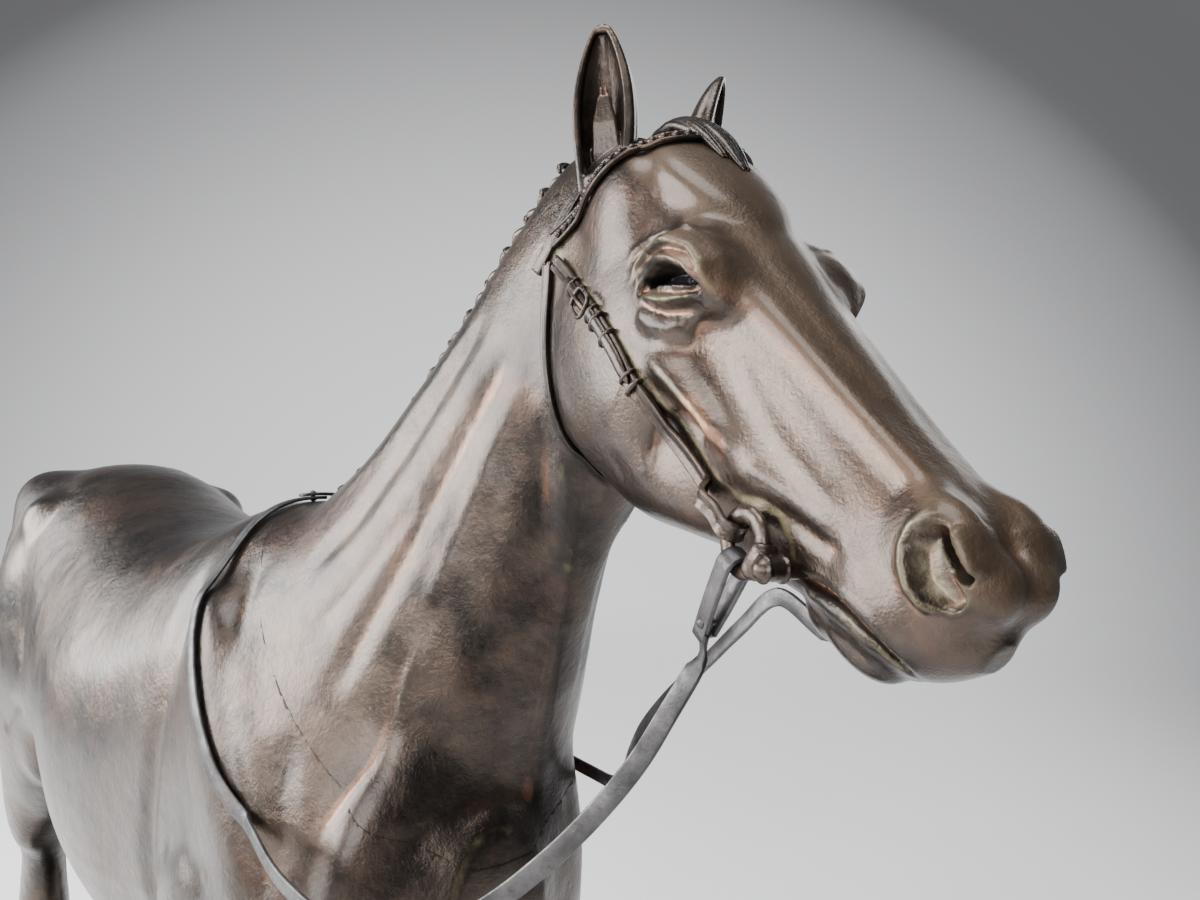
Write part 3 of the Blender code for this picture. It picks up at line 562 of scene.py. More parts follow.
def body_masses(field):
    """The muscles and bones of the trunk and legs, alike on both sides."""
    for side in (1, -1):
        back = 0.0 if side > 0 else NEAR_HIND_BACK

        def mass(x, y, z, radii, blend, turn=0, cut=False):
            ellipsoid(field, STATUE, (x, y * side, z), radii, blend, (0, turn, 0), cut)

        mass(128, 33, 300, (15, 9, 46), 9, -34)  # shoulder blade
        mass(112, 38, 262, (22, 9, 15), 8, -42)  # triceps
        mass(158, 27, 262, (13, 12, 15), 8)  # point of the shoulder
        mass(170, 13, 262, (14, 11, 24), 9)  # breast
        mass(104, 34, 232, (10, 8, 11), 9)  # elbow
        mass(128, 37, 196, (10, 8, 22), 7, 4)  # forearm
        mass(-84, 58, 302, (24, 9, 26), 12, 20, True)  # flank
        mass(-98, 34, 332, (12, 9, 9), 7)  # point of the hip
        mass(-134, 22, 332, (30, 18, 15), 9, 12)  # croup
        mass(-112, 38, 286, (21, 11, 34), 9, 24)  # thigh
        mass(-152, 31, 284, (16, 14, 44), 9, -8)  # hamstrings
        mass(-92, 36, 238, (11, 9, 13), 7)  # stifle
        mass(-128 + back * 0.8, 37, 203, (13, 7, 24), 7, 14)  # gaskin
        mass(-158 + back, 27, 153, (5, 6, 7), 4)  # point of the hock
        mass(136, 28.5, 129, (4.5, 9, 8), 3)  # knee
        for x, y, z, radii in ((133.5, 28.5, 68, (5, 9.2, 6)), (-147 + back, 27, 69, (6, 9.4, 6))):
            mass(x, y, z, radii, 3)  # fetlocks
        mass(124.5, 28.5, 66, (4, 3.4, 4.6), 2.5)
        mass(-156 + back, 27, 68, (4, 3.4, 4.6), 2.5)
    ellipsoid(field, STATUE, (166, 5, 282), (17, 25, 36), 12)  # root of the neck
    ellipsoid(field, STATUE, (176, 0, 284), (12.5, 17, 20), 8)
    ellipsoid(field, STATUE, (-66, 0, 211), (17, 6.5, 7), 7, (0, -8, 0))  # sheath
    ellipsoid(field, STATUE, (196, 0, 256), (6, 4, 26), 12, (0, 0, 0), True)  # between the breast muscles


def body_lines(field):
    """The furrows between the muscles, the folds of the neck, tendons and hooves."""
    for side in (1, -1):
        back = 0.0 if side > 0 else NEAR_HIND_BACK
        neck_low = -14.0 if side < 0 else 22.0

        def line(path, width, height, low=12.0, high=66.0):
            drawn(field, STATUE, side, path, width, height, low, high)

        line(((86, 350), (92, 322), (88, 290), (84, 262), (92, 240)), 5.0, -1.5)
        line(((108, 352), (128, 322), (150, 292), (160, 276)), 3.6, -0.9)
        line(((150, 318), (156, 296), (150, 276), (136, 264)), 4.2, -1.0)
        line(((134, 276), (116, 280), (98, 272)), 4.2, -0.8)
        line(((138, 250), (124, 246), (108, 250)), 3.8, -0.7)
        line(((-112, 330), (-126, 300), (-134, 268), (-132, 236)), 5.0, -1.3)
        line(((-152, 318), (-162, 290), (-160, 262)), 4.4, -0.8)
        line(((-84, 262), (-96, 258), (-112, 244)), 3.2, -0.9)
        line(((-70, 232), (-78, 250), (-76, 276), (-84, 300)), 4.0, -0.9)
        line(((100, 258), (60, 250), (24, 246)), 2.2, 0.35, 20.0)
        # long folds down the neck
        for path, width, height in (
            (((197, 391), (192, 358), (186, 327), (183, 306), (176, 288)), 2.4, -1.5),
            (((201, 388), (197, 358), (191, 327), (188, 306)), 2.0, 0.9),
            (((188, 405), (180, 390), (173, 373), (167, 355), (161, 338), (156, 322)), 3.0, -1.2),
            (((192, 398), (185, 380), (179, 358), (174, 336), (171, 312)), 2.6, 0.8),
            (((178, 414), (168, 396), (158, 378), (146, 360), (132, 346)), 3.4, -1.0),
            (((170, 408), (158, 392), (144, 376), (126, 362)), 3.0, 0.7),
            (((178, 352), (172, 332), (170, 312), (164, 296)), 1.8, -0.9),
            (((168, 370), (156, 350), (146, 336)), 2.2, -0.6),
            (((205, 384), (201, 366), (197, 350)), 1.4, -0.7),
        ):
            line(path, width, height, neck_low, 70.0)
        # tendons and the edges of the cannon bones
        line(((122.6, 112), (122.4, 84), (124, 74)), 1.2, -0.9, 20.0, 40.0)
        line(((128, 150), (125, 178), (118, 200)), 1.8, -0.9, 14.0, 50.0)
        line(((-155.5 + back, 128), (-156 + back, 100), (-154 + back, 80)), 1.2, -0.9, 18.0, 40.0)
        line(((-152 + back, 160), (-142 + back, 180), (-134 + back, 198)), 1.6, -1.1, 12.0, 50.0)
        for x, y in ((140.5, 28.5), (-135.5 + back, 27)):
            coronet(field, x, y * side)


def coronet(field, x, y):
    """The swollen ring of skin over a hoof, the step under it and the hoof's faint growth rings."""
    slices, (px, py, z) = field.block(STATUE, (x - 24, y - 20, PLATE_TOP), (x + 26, y + 20, 54))
    level = z + 0.16 * (px - x)
    shape = 0.8 * np.exp(-(((level - 47.6) / 1.6) ** 2)) - 0.6 * np.exp(-(((level - 44.6) / 0.9) ** 2))
    rings = 0.12 * np.sin(level * 2.4) * np.clip((44 - level) / 2, 0, 1)
    field.values[slices] -= (shape + rings + 0 * py).astype(np.float32)


def horse_form(field):
    add_trunk(field)
    add_neck(field)
    for side in (1, -1):
        add_column(field, FORELEG, side, 0, 8)
        add_column(field, HINDLEG, side, 0 if side > 0 else NEAR_HIND_BACK, 10)
    body_masses(field)
    body_lines(field)
    add_head(field)
    head_masses(field)
    head_lines(field)


# Meshes -------------------------------------------------------------------------------------------


def linked(name, mesh):
    made = bpy.data.objects.new(name, mesh)
    bpy.context.scene.collection.objects.link(made)
    return made


def from_bmesh(name, bm, sharp=None, recalculate=True):
    if recalculate:
        bmesh.ops.recalc_face_normals(bm, faces=bm.faces)
    mesh = bpy.data.meshes.new(name)
    bm.to_mesh(mesh)
    bm.free()
    mesh.shade_smooth()
    if sharp:
        mesh.set_sharp_from_angle(angle=math.radians(sharp))
    return linked(name, mesh)


def kept_side(source, name, *planes):
    """A closed mesh's copy kept behind each plane (a point, and the way out) and closed at the cuts."""
    bm = bmesh.new()
    bm.from_mesh(source.data)
    for point, out in planes:
        geometry = [*bm.verts, *bm.edges, *bm.faces]
        bmesh.ops.bisect_plane(
            bm, geom=geometry, dist=1e-7, plane_co=Vector(point) * MM, plane_no=Vector(out), clear_outer=True
        )
        rim = [e for e in bm.edges if e.is_boundary]
        if rim:
            bmesh.ops.holes_fill(bm, edges=rim, sides=0)
    return from_bmesh(name, bm, 60, False)


def read_points(mesh):
    """The mesh's points, as they are stored."""
    points = np.empty(len(mesh.vertices) * 3, np.float32)
    mesh.vertices.foreach_get("co", points)
    return points.reshape(-1, 3)


def store(mesh, name, values):
    layer = mesh.attributes.new(name, "FLOAT", "POINT")
    layer.data.foreach_set("value", values.astype(np.float32))


def measure_hollows(piece, fine=3, broad=30, floor=0.004):
    """Stores how far each vertex lies in a hollow or on a ridge, finely and broadly, for the patina, the rubbed
    wear and the painted shade in the hollows.
    """
    mesh = piece.data
    count = len(mesh.vertices)
    points = read_points(mesh).astype(np.float64) / MM
    normals = np.empty(count * 3, np.float32)
    mesh.vertex_normals.foreach_get("vector", normals)
    normals = normals.reshape(-1, 3)
    ends = np.empty(len(mesh.edges) * 2, np.int32)
    mesh.edges.foreach_get("vertices", ends)
    a, b = ends[0::2], ends[1::2]
    degree = np.maximum(np.bincount(a, minlength=count) + np.bincount(b, minlength=count), 1)

    def smoothed(values, rounds):
        for _ in range(rounds):
            columns = [np.bincount(a, each[b], count) + np.bincount(b, each[a], count) for each in values.T]
            values = 0.5 * values + 0.5 * np.stack(columns, 1) / degree[:, None]
        return values

    near = smoothed(points, fine)
    far = smoothed(near, broad)
    for name, moved in (("hollow_fine", near - points), ("hollow_broad", far - near)):
        depth = (moved * normals).sum(1)
        depth = smoothed(depth[:, None], 2)[:, 0]
        depth -= np.median(depth)
        depth = np.clip(depth / max(float(np.percentile(np.abs(depth), 80)), floor), -6, 6)
        store(mesh, name, depth)
    return piece


# Strips and tubes


def curve_points(points, spacing):
    """A smooth curve (Catmull-Rom) in steps of about spacing: each piece, the share along it, the point."""
    ends = [points[0] * 2 - points[1], *points, points[-1] * 2 - points[-2]]
    for k in range(len(points) - 1):
        a, b, c, d = ends[k : k + 4]
        steps = max(1, round((c - b).length / spacing))
        for j in range(steps):
            t = j / steps
            bend = (2 * a - 5 * b + 4 * c - d) * t * t + (3 * b - a - 3 * c + d) * t**3
            yield k, t, 0.5 * (2 * b + (c - a) * t + bend)


def resample(points, spacing):
    """A smooth curve through the points, with a point about every spacing."""
    points = [Vector(p) for p in points]
    return [*(point for _, _, point in curve_points(points, spacing)), points[-1]]


def eased(points, normals, spacing):
    """The same path with points about every spacing, and the normals eased between them."""
    fine = list(curve_points(points, spacing))
    facing = [normals[k].lerp(normals[k + 1], t).normalized() for k, t, _ in fine]
    return [*(point for _, _, point in fine), points[-1]], [*facing, normals[-1]]


def tangents(points):
    last = len(points) - 1
    return [(points[min(k + 1, last)] - points[max(k - 1, 0)]).normalized() for k in range(last + 1)]


def settled(normals, rounds):
    """Each normal evened with its neighbours."""
    for _ in range(rounds):
        after = [*normals[1:], normals[-1]]
        normals = [(a + b * 2 + c).normalized() for a, b, c in zip([normals[0], *normals], normals, after)]
    return normals


def join_rows(bm, rows):
    """Four-sided faces between each row of vertices and the next, all round."""
    for low, high in zip(rows, rows[1:]):
        for j in range(len(low)):
            n = (j + 1) % len(low)
            bm.faces.new((low[j], low[n], high[n], high[j]))


def close_row(bm, row, point):
    """Triangles from a row of vertices to one point, in metres."""
    tip = bm.verts.new(point)
    for j in range(len(row)):
        bm.faces.new((row[j], row[(j + 1) % len(row)], tip))


def tube(bm, points, radii, sides=10, normals=None, flat=1.0):
    """A closed tube along the points. flat squeezes it along its normals."""
    points = [Vector(p) for p in points]
    along = tangents(points)
    if normals is None:
        normals = [along[0].orthogonal().normalized()]
        for before, after in zip(along, along[1:]):
            normals.append((before.rotation_difference(after) @ normals[-1]).normalized())
    rows, reach = [], []
    for k, (point, tangent, normal) in enumerate(zip(points, along, normals)):
        across = tangent.cross(normal).normalized()
        up = across.cross(tangent).normalized()
        r = float(along_path(radii, k / (len(points) - 1)))
        row = []
        for j in range(sides):
            t = 2 * math.pi * j / sides
            spoke = across * (r * math.cos(t)) + up * (r * flat * math.sin(t))
            row.append(bm.verts.new((point + spoke) * MM))
        rows.append(row)
        reach.append(r)
    join_rows(bm, rows)
    close_row(bm, rows[0], (points[0] - along[0] * reach[0] * 0.6) * MM)
    close_row(bm, rows[-1], (points[-1] + along[-1] * reach[-1] * 0.6) * MM)


def band(bm, points, normals, section):
    """A strap swept along the points: section is (across, raise) points in order round it."""
    rows = []
    for point, tangent, normal in zip(points, tangents(points), normals):
        across = tangent.cross(normal).normalized()
        raised = across.cross(tangent).normalized()
        rows.append([bm.verts.new((point + across * a + raised * r) * MM) for a, r in section])
    join_rows(bm, rows)
    for row in (rows[0], rows[-1]):
        close_row(bm, row, sum((v.co for v in row), Vector()) / len(row))


def strap_section(width, thickness, lip=0.12, groove=0.0):
    """A strap's outline: rounded, with a raised lip along each edge and, if asked, a groove down its middle."""
    w, t = width / 2, thickness / 2
    edge = ((1, 0), (0.97, t * 0.7), (0.86, t + lip), (0.7, t + lip * 0.5), (0.55, t - lip * 0.4), (0.2, t))
    left = [(-w * share, rise) for share, rise in edge]
    right = [(w * share, rise) for share, rise in reversed(edge)]
    return [*left, (0, t - groove), *right, (w * 0.9, -t), (0, -t), (-w * 0.9, -t)]


def skin_tree(*pieces):
    """One search tree over the castings, in millimetres."""
    points, faces = [], []
    for piece in pieces:
        start = len(points)
        points += [v.co / MM for v in piece.data.vertices]
        faces += [[start + i for i in p.vertices] for p in piece.data.polygons]
    return BVHTree.FromPolygons(points, faces)


def on_skin(start, towards, lift):
    """Where a line from start to a point inside meets the skin, raised by lift, and the skin's normal."""
    direction = (towards - start).normalized()
    hit, normal, _, _ = SKIN.ray_cast(start, direction)
    if normal.dot(direction) > 0:
        normal = -normal
    return hit + normal * lift, normal


def laid(outside, inside, lift, bridging=40):
    """Points and normals of a line pressed onto the skin, eased so that the strap bridges small hollows."""
    points, normals = zip(*(on_skin(a, b, 0) for a, b in zip(outside, inside)))
    normals = settled(normals, 6)
    last = len(points) - 1
    for _ in range(bridging):
        middle = [(points[max(k - 1, 0)] + points[min(k + 1, last)]) / 2 for k in range(last + 1)]
        # never under the skin
        points = [p + n * max((m - p).dot(n), 0) for p, m, n in zip(points, middle, normals)]
    return [p + n * lift for p, n in zip(points, normals)], normals


# The castings of the horse


def make_horse():
    body = Field((-206, -62, 22), (240, 62, 462), BODY_STEP, STATUE)
    horse_form(body)
    # sink the body a little where the head's casting laps over it
    slices, (u, w, v) = body.block(HEAD_FRAME, (-30, -30, -60), (130, 30, 30))
    lap = np.clip((u + v + 0 * w - HEAD_SEAM + 3) / 3, 0, 1)
    beyond = np.clip(u + v + 0 * w - HEAD_SEAM - 2, 0, None)
    sunk = body.values[slices] + HEAD_LAP * lap
    body.values[slices] = np.maximum(sunk, np.where(beyond > 0, beyond, -FAR))
    whole = measure_hollows(mesh_of(body, "whole"))
    head = Field((-22, -25, -54), (121, 25, 25), HEAD_STEP, HEAD_FRAME)
    horse_form(head)
    skull = measure_hollows(mesh_of(head, "skull"), 5, 60)
    over_legs = ((0, 0, LEG_SEAM), (0, 0, -1))
    under_trunk = ((0, 0, LEG_SEAM), (0, 0, 1))
    neck_in = tuple(-n for n in NECK_SEAM_OUT)
    neck_lap = tuple(c + NECK_LAP * n for c, n in zip(NECK_SEAM, neck_in))
    pieces = {
        "trunk_casting": kept_side(whole, "trunk", over_legs, (NECK_SEAM, NECK_SEAM_OUT)),
        "neck_casting": kept_side(whole, "neck", (neck_lap, neck_in), over_legs),
    }
    for side, word in WORD.items():
        own_side = ((0, 0, 0), (0, -side, 0))
        for end, way in (("fore", -1), ("hind", 1)):
            own_end = ((0, 0, 0), (way, 0, 0))
            pieces[f"{end}leg_{word}"] = kept_side(whole, f"{end}_{word}", under_trunk, own_side, own_end)
    seam_out = HEAD_TURN @ Vector((-1, 0, -1)).normalized()
    pieces["head_casting"] = kept_side(skull, "head", (in_head(HEAD_SEAM, 0, 0), seam_out))
    for spare in (whole, skull):
        bpy.data.objects.remove(spare)
    return pieces


# Ears, forelock, mane and tail

EAR_TIPS = {1: (-20, 23, 16), -1: (-26, 25, -9)}
# From root to tip: share of the length, half width, half depth
EAR_OUTLINE = (
    (0, 5.0, 4.4),
    (0.15, 5.6, 4.7),
    (0.4, 6.5, 4.2),
    (0.6, 6.2, 3.5),
    (0.8, 4.5, 2.6),
    (0.92, 2.7, 1.7),
    (1.0, 0.9, 0.8),
)


def make_ear(side):
    """A cupped leaf with rolled edges and a tuft of hair inside."""
    root, end = in_head(0, 1, 10 * side), in_head(*EAR_TIPS[side])
    up = (end - root).normalized()
    open_way = HEAD_TURN @ Vector((1.0, 0.75 * side, 0.1))
    front = (open_way - up * open_way.dot(up)).normalized()
    across = up.cross(front).normalized()
    place = Matrix((across, front, up)).transposed().to_4x4()
    place.translation = root
    length = (end - root).length
    box = (-9, -8, -4), (9, 8, length + 2)
    field = Field(*box, EAR_STEP, place)
    slices, (a, c, z) = field.block(place, *box)
    table = smooth_table(EAR_OUTLINE)
    share = np.clip(z / length, 0, 1)
    half, depth = at(table, share, 1), at(table, share, 2)
    # the leaf curls forward at its tip
    c = c - 1.6 * share**2
    outer = oval_distance(a, c + 0.2 * depth, half, depth, 2.0)
    outer = np.maximum(outer, z - length)
    inner = oval_distance(a - 0.4 * side, c - 0.75 * depth, half * 0.74, depth * 1.3, 2.0)
    inner = np.maximum(inner, np.maximum(0.10 * length - z, z - 0.95 * length) * 0.8)
    field.add(slices, outer, 0)
    field.cut(slices, inner, 0.8)
    for edge in (1, -1):
        rim = []
        for s in np.linspace(0.02, 0.97, 16):
            h, d = float(at(table, s, 1)), float(at(table, s, 2))
            rim.append((edge * h * 0.86, 0.28 * d + 1.6 * s * s, s * length))
        rope(field, place, rim, np.linspace(0.95, 0.5, 16), 0.6)
    for k in range(5):
        x = -2.4 + 1.2 * k
        hair = ((x * 0.7, -1.4, 4), (x, -1.0, 9), (x * 0.8, 0.4, 15), (x * 0.4, 1.2, 20 + k % 2 * 2))
        rope(field, place, hair, (0.7, 0.75, 0.6, 0.3), 0.5)
    return measure_hollows(mesh_of(field, f"ear_{WORD[side]}_leaf"), 3, 20)


def make_forelock():
    """Combed strands from between the ears over the browband to the brow."""
    bm = bmesh.new()
    rng = np.random.default_rng(7)
    for k in range(11):
        lane = (k - 5) / 5
        reach = 24.5 - 6 * abs(lane - 0.1) ** 1.4 + rng.uniform(-1.8, 1.8)
        high = 1.0 - 0.55 * lane * lane
        sway = rng.uniform(-0.5, 0.5)
        path = []
        for s in np.linspace(0, 1, 26):
            u = -3.5 + (reach + 3.5) * s
            wide = (2.6 + 3.2 * math.sin(math.pi * min(1, s * 0.9)) * (1 - 0.45 * s)) * lane
            w = wide + 0.6 * math.sin(3 * s + k) * s + sway * s + 0.9 * s
            outer, inner = in_head(u, 45, w), in_head(u, -10, w * 0.4)
            hit, normal = on_skin(outer, inner, 0)
            lift = 1.2 + 2.0 * high * math.sin(math.pi * min(1, 0.12 + s * 0.9)) ** 0.8
            path.append(hit + normal * lift * (1 - 0.8 * s**3) * 0.7)
        tube(bm, path, (0.9, 1.15, 1.2, 1.15, 1.0, 0.75, 0.3), 12)
    return from_bmesh("forelock_hair", bm)


def crest_point(place):
    low = min(int(place), len(NECK) - 2)
    crest = [Vector(row[0]) for row in NECK]
    point = crest[low].lerp(crest[low + 1], place - low)
    before, after = crest[max(low - 1, 0)], crest[min(low + 2, len(crest) - 1)]
    along = (crest[low + 1] - crest[low]).normalized().lerp((after - before).normalized(), 0.5).normalized()
    return point, along


def make_mane():
    """The mane plaited along the crest: three strands crossing, with a knot at each crossing."""
    start, end, turns, steps = 0.8, 6.0, 13, 260
    bm = bmesh.new()
    side = Vector((0, 1, 0))
    crest = []
    for k in range(steps + 1):
        point, along = crest_point(start + (end - start) * k / steps)
        up = side.cross(along).normalized() * -1
        if up.z < 0:
            up = -up
        hit, _ = on_skin(point + up * 30, point - up * 20, 0)
        crest.append((hit, up))
    for strand in range(3):
        path, radii = [], []
        for k, (hit, up) in enumerate(crest):
            t = 2 * math.pi * (turns * 0.5 * k / steps + strand / 3)
            taper = min(1, 6 * k / steps, 6 * (1 - k / steps)) ** 0.5 if 0 < k < steps else 0.2
            sway, rise = 1.55 * math.sin(t) * taper, 0.75 + 0.8 * math.sin(2 * t) * taper
            path.append(hit + side * sway + up * rise)
            radii.append(1.25 * max(taper, 0.35))
        tube(bm, path, radii, 10)
    for k in range(turns):
        hit, up = crest[round((k + 0.5) / turns * steps)]
        loop = []
        for j in range(13):
            t = math.pi * j / 12
            loop.append(hit + side * (2.6 * math.cos(t)) + up * (0.2 + 2.5 * math.sin(t)))
        tube(bm, loop, (0.45, 0.75, 0.8, 0.75, 0.45), 8)
    return from_bmesh("mane_plait", bm)


TAIL = (
    (336, -160, 7, 7),
    (328, -172, 8, 8),
    (312, -181, 8.5, 9.5),
    (285, -187, 9.5, 12),
    (250, -190, 10.5, 13.5),
    (215, -190, 10, 12.5),
    (180, -188, 8, 10),
    (150, -186, 5, 6.5),
    (130, -184.5, 1.5, 2),
)


def make_tail():
    """A dock and a fall of long combed locks."""
    table = smooth_table([(z, x, half_x, half_y) for z, x, half_x, half_y in TAIL])
    bm = bmesh.new()
    rng = np.random.default_rng(11)
    top, bottom = TAIL[0][0], TAIL[-1][0]

    def place(height, turn, share):
        x, hx, hy = (float(at(table, height, k)) for k in (1, 2, 3))
        return Vector((x + share * hx * math.cos(turn), share * hy * math.sin(turn), height))

    core = [place(top - (top - bottom) * 0.94 * k / 40, 0, 0) for k in range(41)]
    widths = [0.80 * float(at(table, p.z, 3)) for p in core]
    tube(bm, core, widths, 20, [Vector((1, 0, 0))] * 41, 0.8)
    for k in range(46):
        turn = 2 * math.pi * k / 46 + rng.uniform(-0.06, 0.06)
        begin = rng.uniform(0.0, 0.10) if k % 3 else 0.02
        reach = rng.uniform(0.74, 0.97) if k % 4 else 0.99
        bend, phase = rng.uniform(0.05, 0.22), rng.uniform(0, 6.28)
        path = []
        for s in np.linspace(begin, reach, 44):
            wave = bend * math.sin(5.2 * s + phase) * s
            share = 0.86 + 0.06 * math.sin(9 * s + phase)
            path.append(place(top - (top - bottom) * s, turn + wave, share))
        thick = rng.uniform(1.1, 1.7)
        tube(bm, path, (thick * 0.6, thick, thick * 1.05, thick, thick * 0.85, 0.3), 8)
    return from_bmesh("tail_locks", bm)


# The bridle


def head_strap(centre, lean, start, end, lift, step=1.2):
    """Points and normals of a strap in a plane across the head, in degrees from its top."""
    middle = in_head(centre[0], centre[1], 0)
    upward = HEAD_TURN @ Vector((lean[0], 0, lean[1])).normalized()
    left = HEAD_TURN @ Vector((0, 1, 0))
    count = round(abs(end - start) / step)
    turns = [math.radians(start + (end - start) * k / count) for k in range(count + 1)]
    outside = [middle + (upward * math.cos(t) + left * math.sin(t)) * 60 for t in turns]
    return laid(outside, [middle] * (count + 1), lift)


def make_crownpiece():
    bm = bmesh.new()
    points, normals = head_strap((-3.5, -5), (-0.16, 1), -128, 128, 0.55)
    band(bm, points, normals, strap_section(3.2, 0.9))
    return from_bmesh("crown_strap", bm)


def make_browband():
    """Two raised edges with a row of beads between them."""
    bm = bmesh.new()
    points, normals = head_strap((1, -5), (0.42, 0.91), -114, 114, 0.6, 0.8)
    band(bm, points, normals, strap_section(3.6, 0.8, 0.0))
    for offset in (-1.55, 1.55):
        rail = []
        for point, tangent, normal in zip(points, tangents(points), normals):
            rail.append(point + tangent.cross(normal).normalized() * offset + normal * 0.35)
        tube(bm, rail, 0.42, 8)
    gone, spacing = 0.0, 2.15
    for before, after, normal in zip(points, points[1:], normals):
        gone += (after - before).length
        if gone >= spacing:
            gone -= spacing
            bead(bm, after + normal * 0.45, normal, (after - before).normalized(), 0.98, 0.8)
    return from_bmesh("brow_strap", bm)


def bead(bm, centre, up, along, radius, height):
    """A low round bead."""
    across = up.cross(along).normalized()
    along = across.cross(up).normalized()
    spokes = [across * math.cos(t) + along * math.sin(t) for t in (2 * math.pi * j / 12 for j in range(12))]
    rows = []
    for ring in range(1, 6):
        polar = math.pi * ring / 6
        r, level = radius * math.sin(polar), height * math.cos(polar)
        rows.append([bm.verts.new((centre + up * level + spoke * r) * MM) for spoke in spokes])
    join_rows(bm, rows)
    close_row(bm, rows[0], (centre + up * height) * MM)
    close_row(bm, rows[-1], (centre - up * height) * MM)


def make_throatlatch():
    bm = bmesh.new()
    points, normals = head_strap((14, -29), (0.71, -0.71), -139, 139, 0.55)
    band(bm, points, normals, strap_section(2.4, 0.9, 0.08))
    return from_bmesh("throat_strap", bm)


def wire_of_ring(side, way):
    """The ways out and off the ring at its place in the way (u, v), and the middle of its wire there."""
    out = HEAD_TURN @ Vector((0, side, 0))
    off = HEAD_TURN @ Vector((way[0], 0, way[1])).normalized()
    return out, off, in_head(BIT_U, BIT_V, BIT_W * side) + off * RING_RADIUS


def fold_round_ring(side, way, reach, layer_gap, steps=20):
    """A strap's path round the ring's wire and both layers' way off it, out layer first, with normals."""
    out, off, wire = wire_of_ring(side, way)
    points = [wire + off * reach + out * layer_gap, wire + off * reach * 0.5 + out * FOLD_RADIUS * 0.75]
    normals = [out, out]
    for k in range(steps + 1):
        turn = math.pi * k / steps
        spoke = out * math.cos(turn) - off * math.sin(turn)
        points.append(wire + spoke * FOLD_RADIUS)
        normals.append(spoke)
    points += [wire + off * reach * 0.5 - out * FOLD_RADIUS * 0.75]
    normals += [-out]
    return points, normals


def make_cheekpiece(side):
    """The cheek strap, doubled below its buckle, and folded round the bit ring."""
    route = [(66, -18.4), (56, -17.2), (46, -14.8), (36, -12.4), (26, -11.8), (14, -12.6), (3, -13.8)]
    route = [(p.x, p.y) for p in resample([(u, v, 0) for u, v in route], 1.2)]
    outside = [in_head(u, v, 40 * side) for u, v in route]
    inside = [in_head(u, v, 0) for u, v in route]
    wrap, facing = fold_round_ring(side, (-1, -0.06), 7.0, FOLD_RADIUS)
    laid_points, laid_normals = laid(outside, inside, 0.6)
    points = [*reversed(wrap[:-1]), *laid_points]
    normals = [*reversed(facing[:-1]), *laid_normals]
    points, normals = eased(points, normals, 0.9)
    bm = bmesh.new()
    band(bm, points, normals, strap_section(3.2, 0.9, 0.1, 0.3))
    total = len(laid_points)

    def place_on_strap(share):
        k = round(share * (total - 1))
        tangent = (laid_points[k + 1] - laid_points[k - 1]).normalized()
        return laid_points[k], laid_normals[k], tangent, tangent.cross(laid_normals[k]).normalized()

    thick, thin = 0.5, 0.42
    keepers = {0.34: thick, 0.37: thin, 0.52: thick, 0.60: 0.55, 0.64: thin, 0.76: thick, 0.82: thin}
    for share, radius in keepers.items():
        here, normal, _, across = place_on_strap(share)
        loop = []
        for j in range(15):
            t = math.pi * (-0.1 + 1.2 * j / 14)
            loop.append(here + across * (1.75 * math.cos(t)) + normal * (0.95 * math.sin(t)))
        tube(bm, loop, radius, 8)
    # the second layer of strap above the buckle, ending in a rounded tip
    first, last = round(0.36 * (total - 1)), round(0.86 * (total - 1))
    upper = [p + n * 0.75 for p, n in zip(laid_points[first:last], laid_normals[first:last])]
    tube(bm, upper, [0.4, 1.0, 1.15, *[1.15] * 18, 1.1, 0.9], 12, laid_normals[first:last], 0.5)
    # buckle: a four-sided loop and its tongue
    here, normal, tangent, across = place_on_strap(0.7)
    loop = []
    for j in range(33):
        t = 2 * math.pi * j / 32
        square = (abs(math.cos(t)) ** 4 + abs(math.sin(t)) ** 4) ** -0.25
        spoke = across * (2.3 * math.cos(t)) + tangent * (2.7 * math.sin(t))
        loop.append(here + normal * 1.35 + spoke * square)
    tube(bm, loop, 0.42, 8)
    tongue = [here + tangent * gone + normal * rise for gone, rise in ((-2.7, 1.5), (0, 1.75), (2.9, 1.6))]
    tube(bm, tongue, 0.33, 8)
    return from_bmesh(f"cheek_{WORD[side]}", bm)


def make_ring(side):
    """A flattened wire ring, a little uneven from wear."""
    bm = bmesh.new()
    centre = in_head(BIT_U, BIT_V, BIT_W * side)
    ahead, upward, out = (HEAD_TURN @ Vector(way) for way in ((1, 0, 0), (0, 0, 1), (0, side, 0)))
    rows = []
    for k in range(64):
        turn = 2 * math.pi * k / 64
        spoke = ahead * math.cos(turn) + upward * math.sin(turn)
        wear = 1 + 0.03 * math.sin(3 * k) + 0.02 * math.sin(7.3 * k)
        row = []
        for t in (2 * math.pi * j / 16 for j in range(16)):
            wire = spoke * (1.45 * math.cos(t)) + out * (0.95 * math.sin(t))
            row.append(bm.verts.new((centre + spoke * RING_RADIUS + wire * RING_WIRE * wear) * MM))
        rows.append(row)
    join_rows(bm, [*rows, rows[0]])
    return from_bmesh(f"ring_{WORD[side]}", bm)


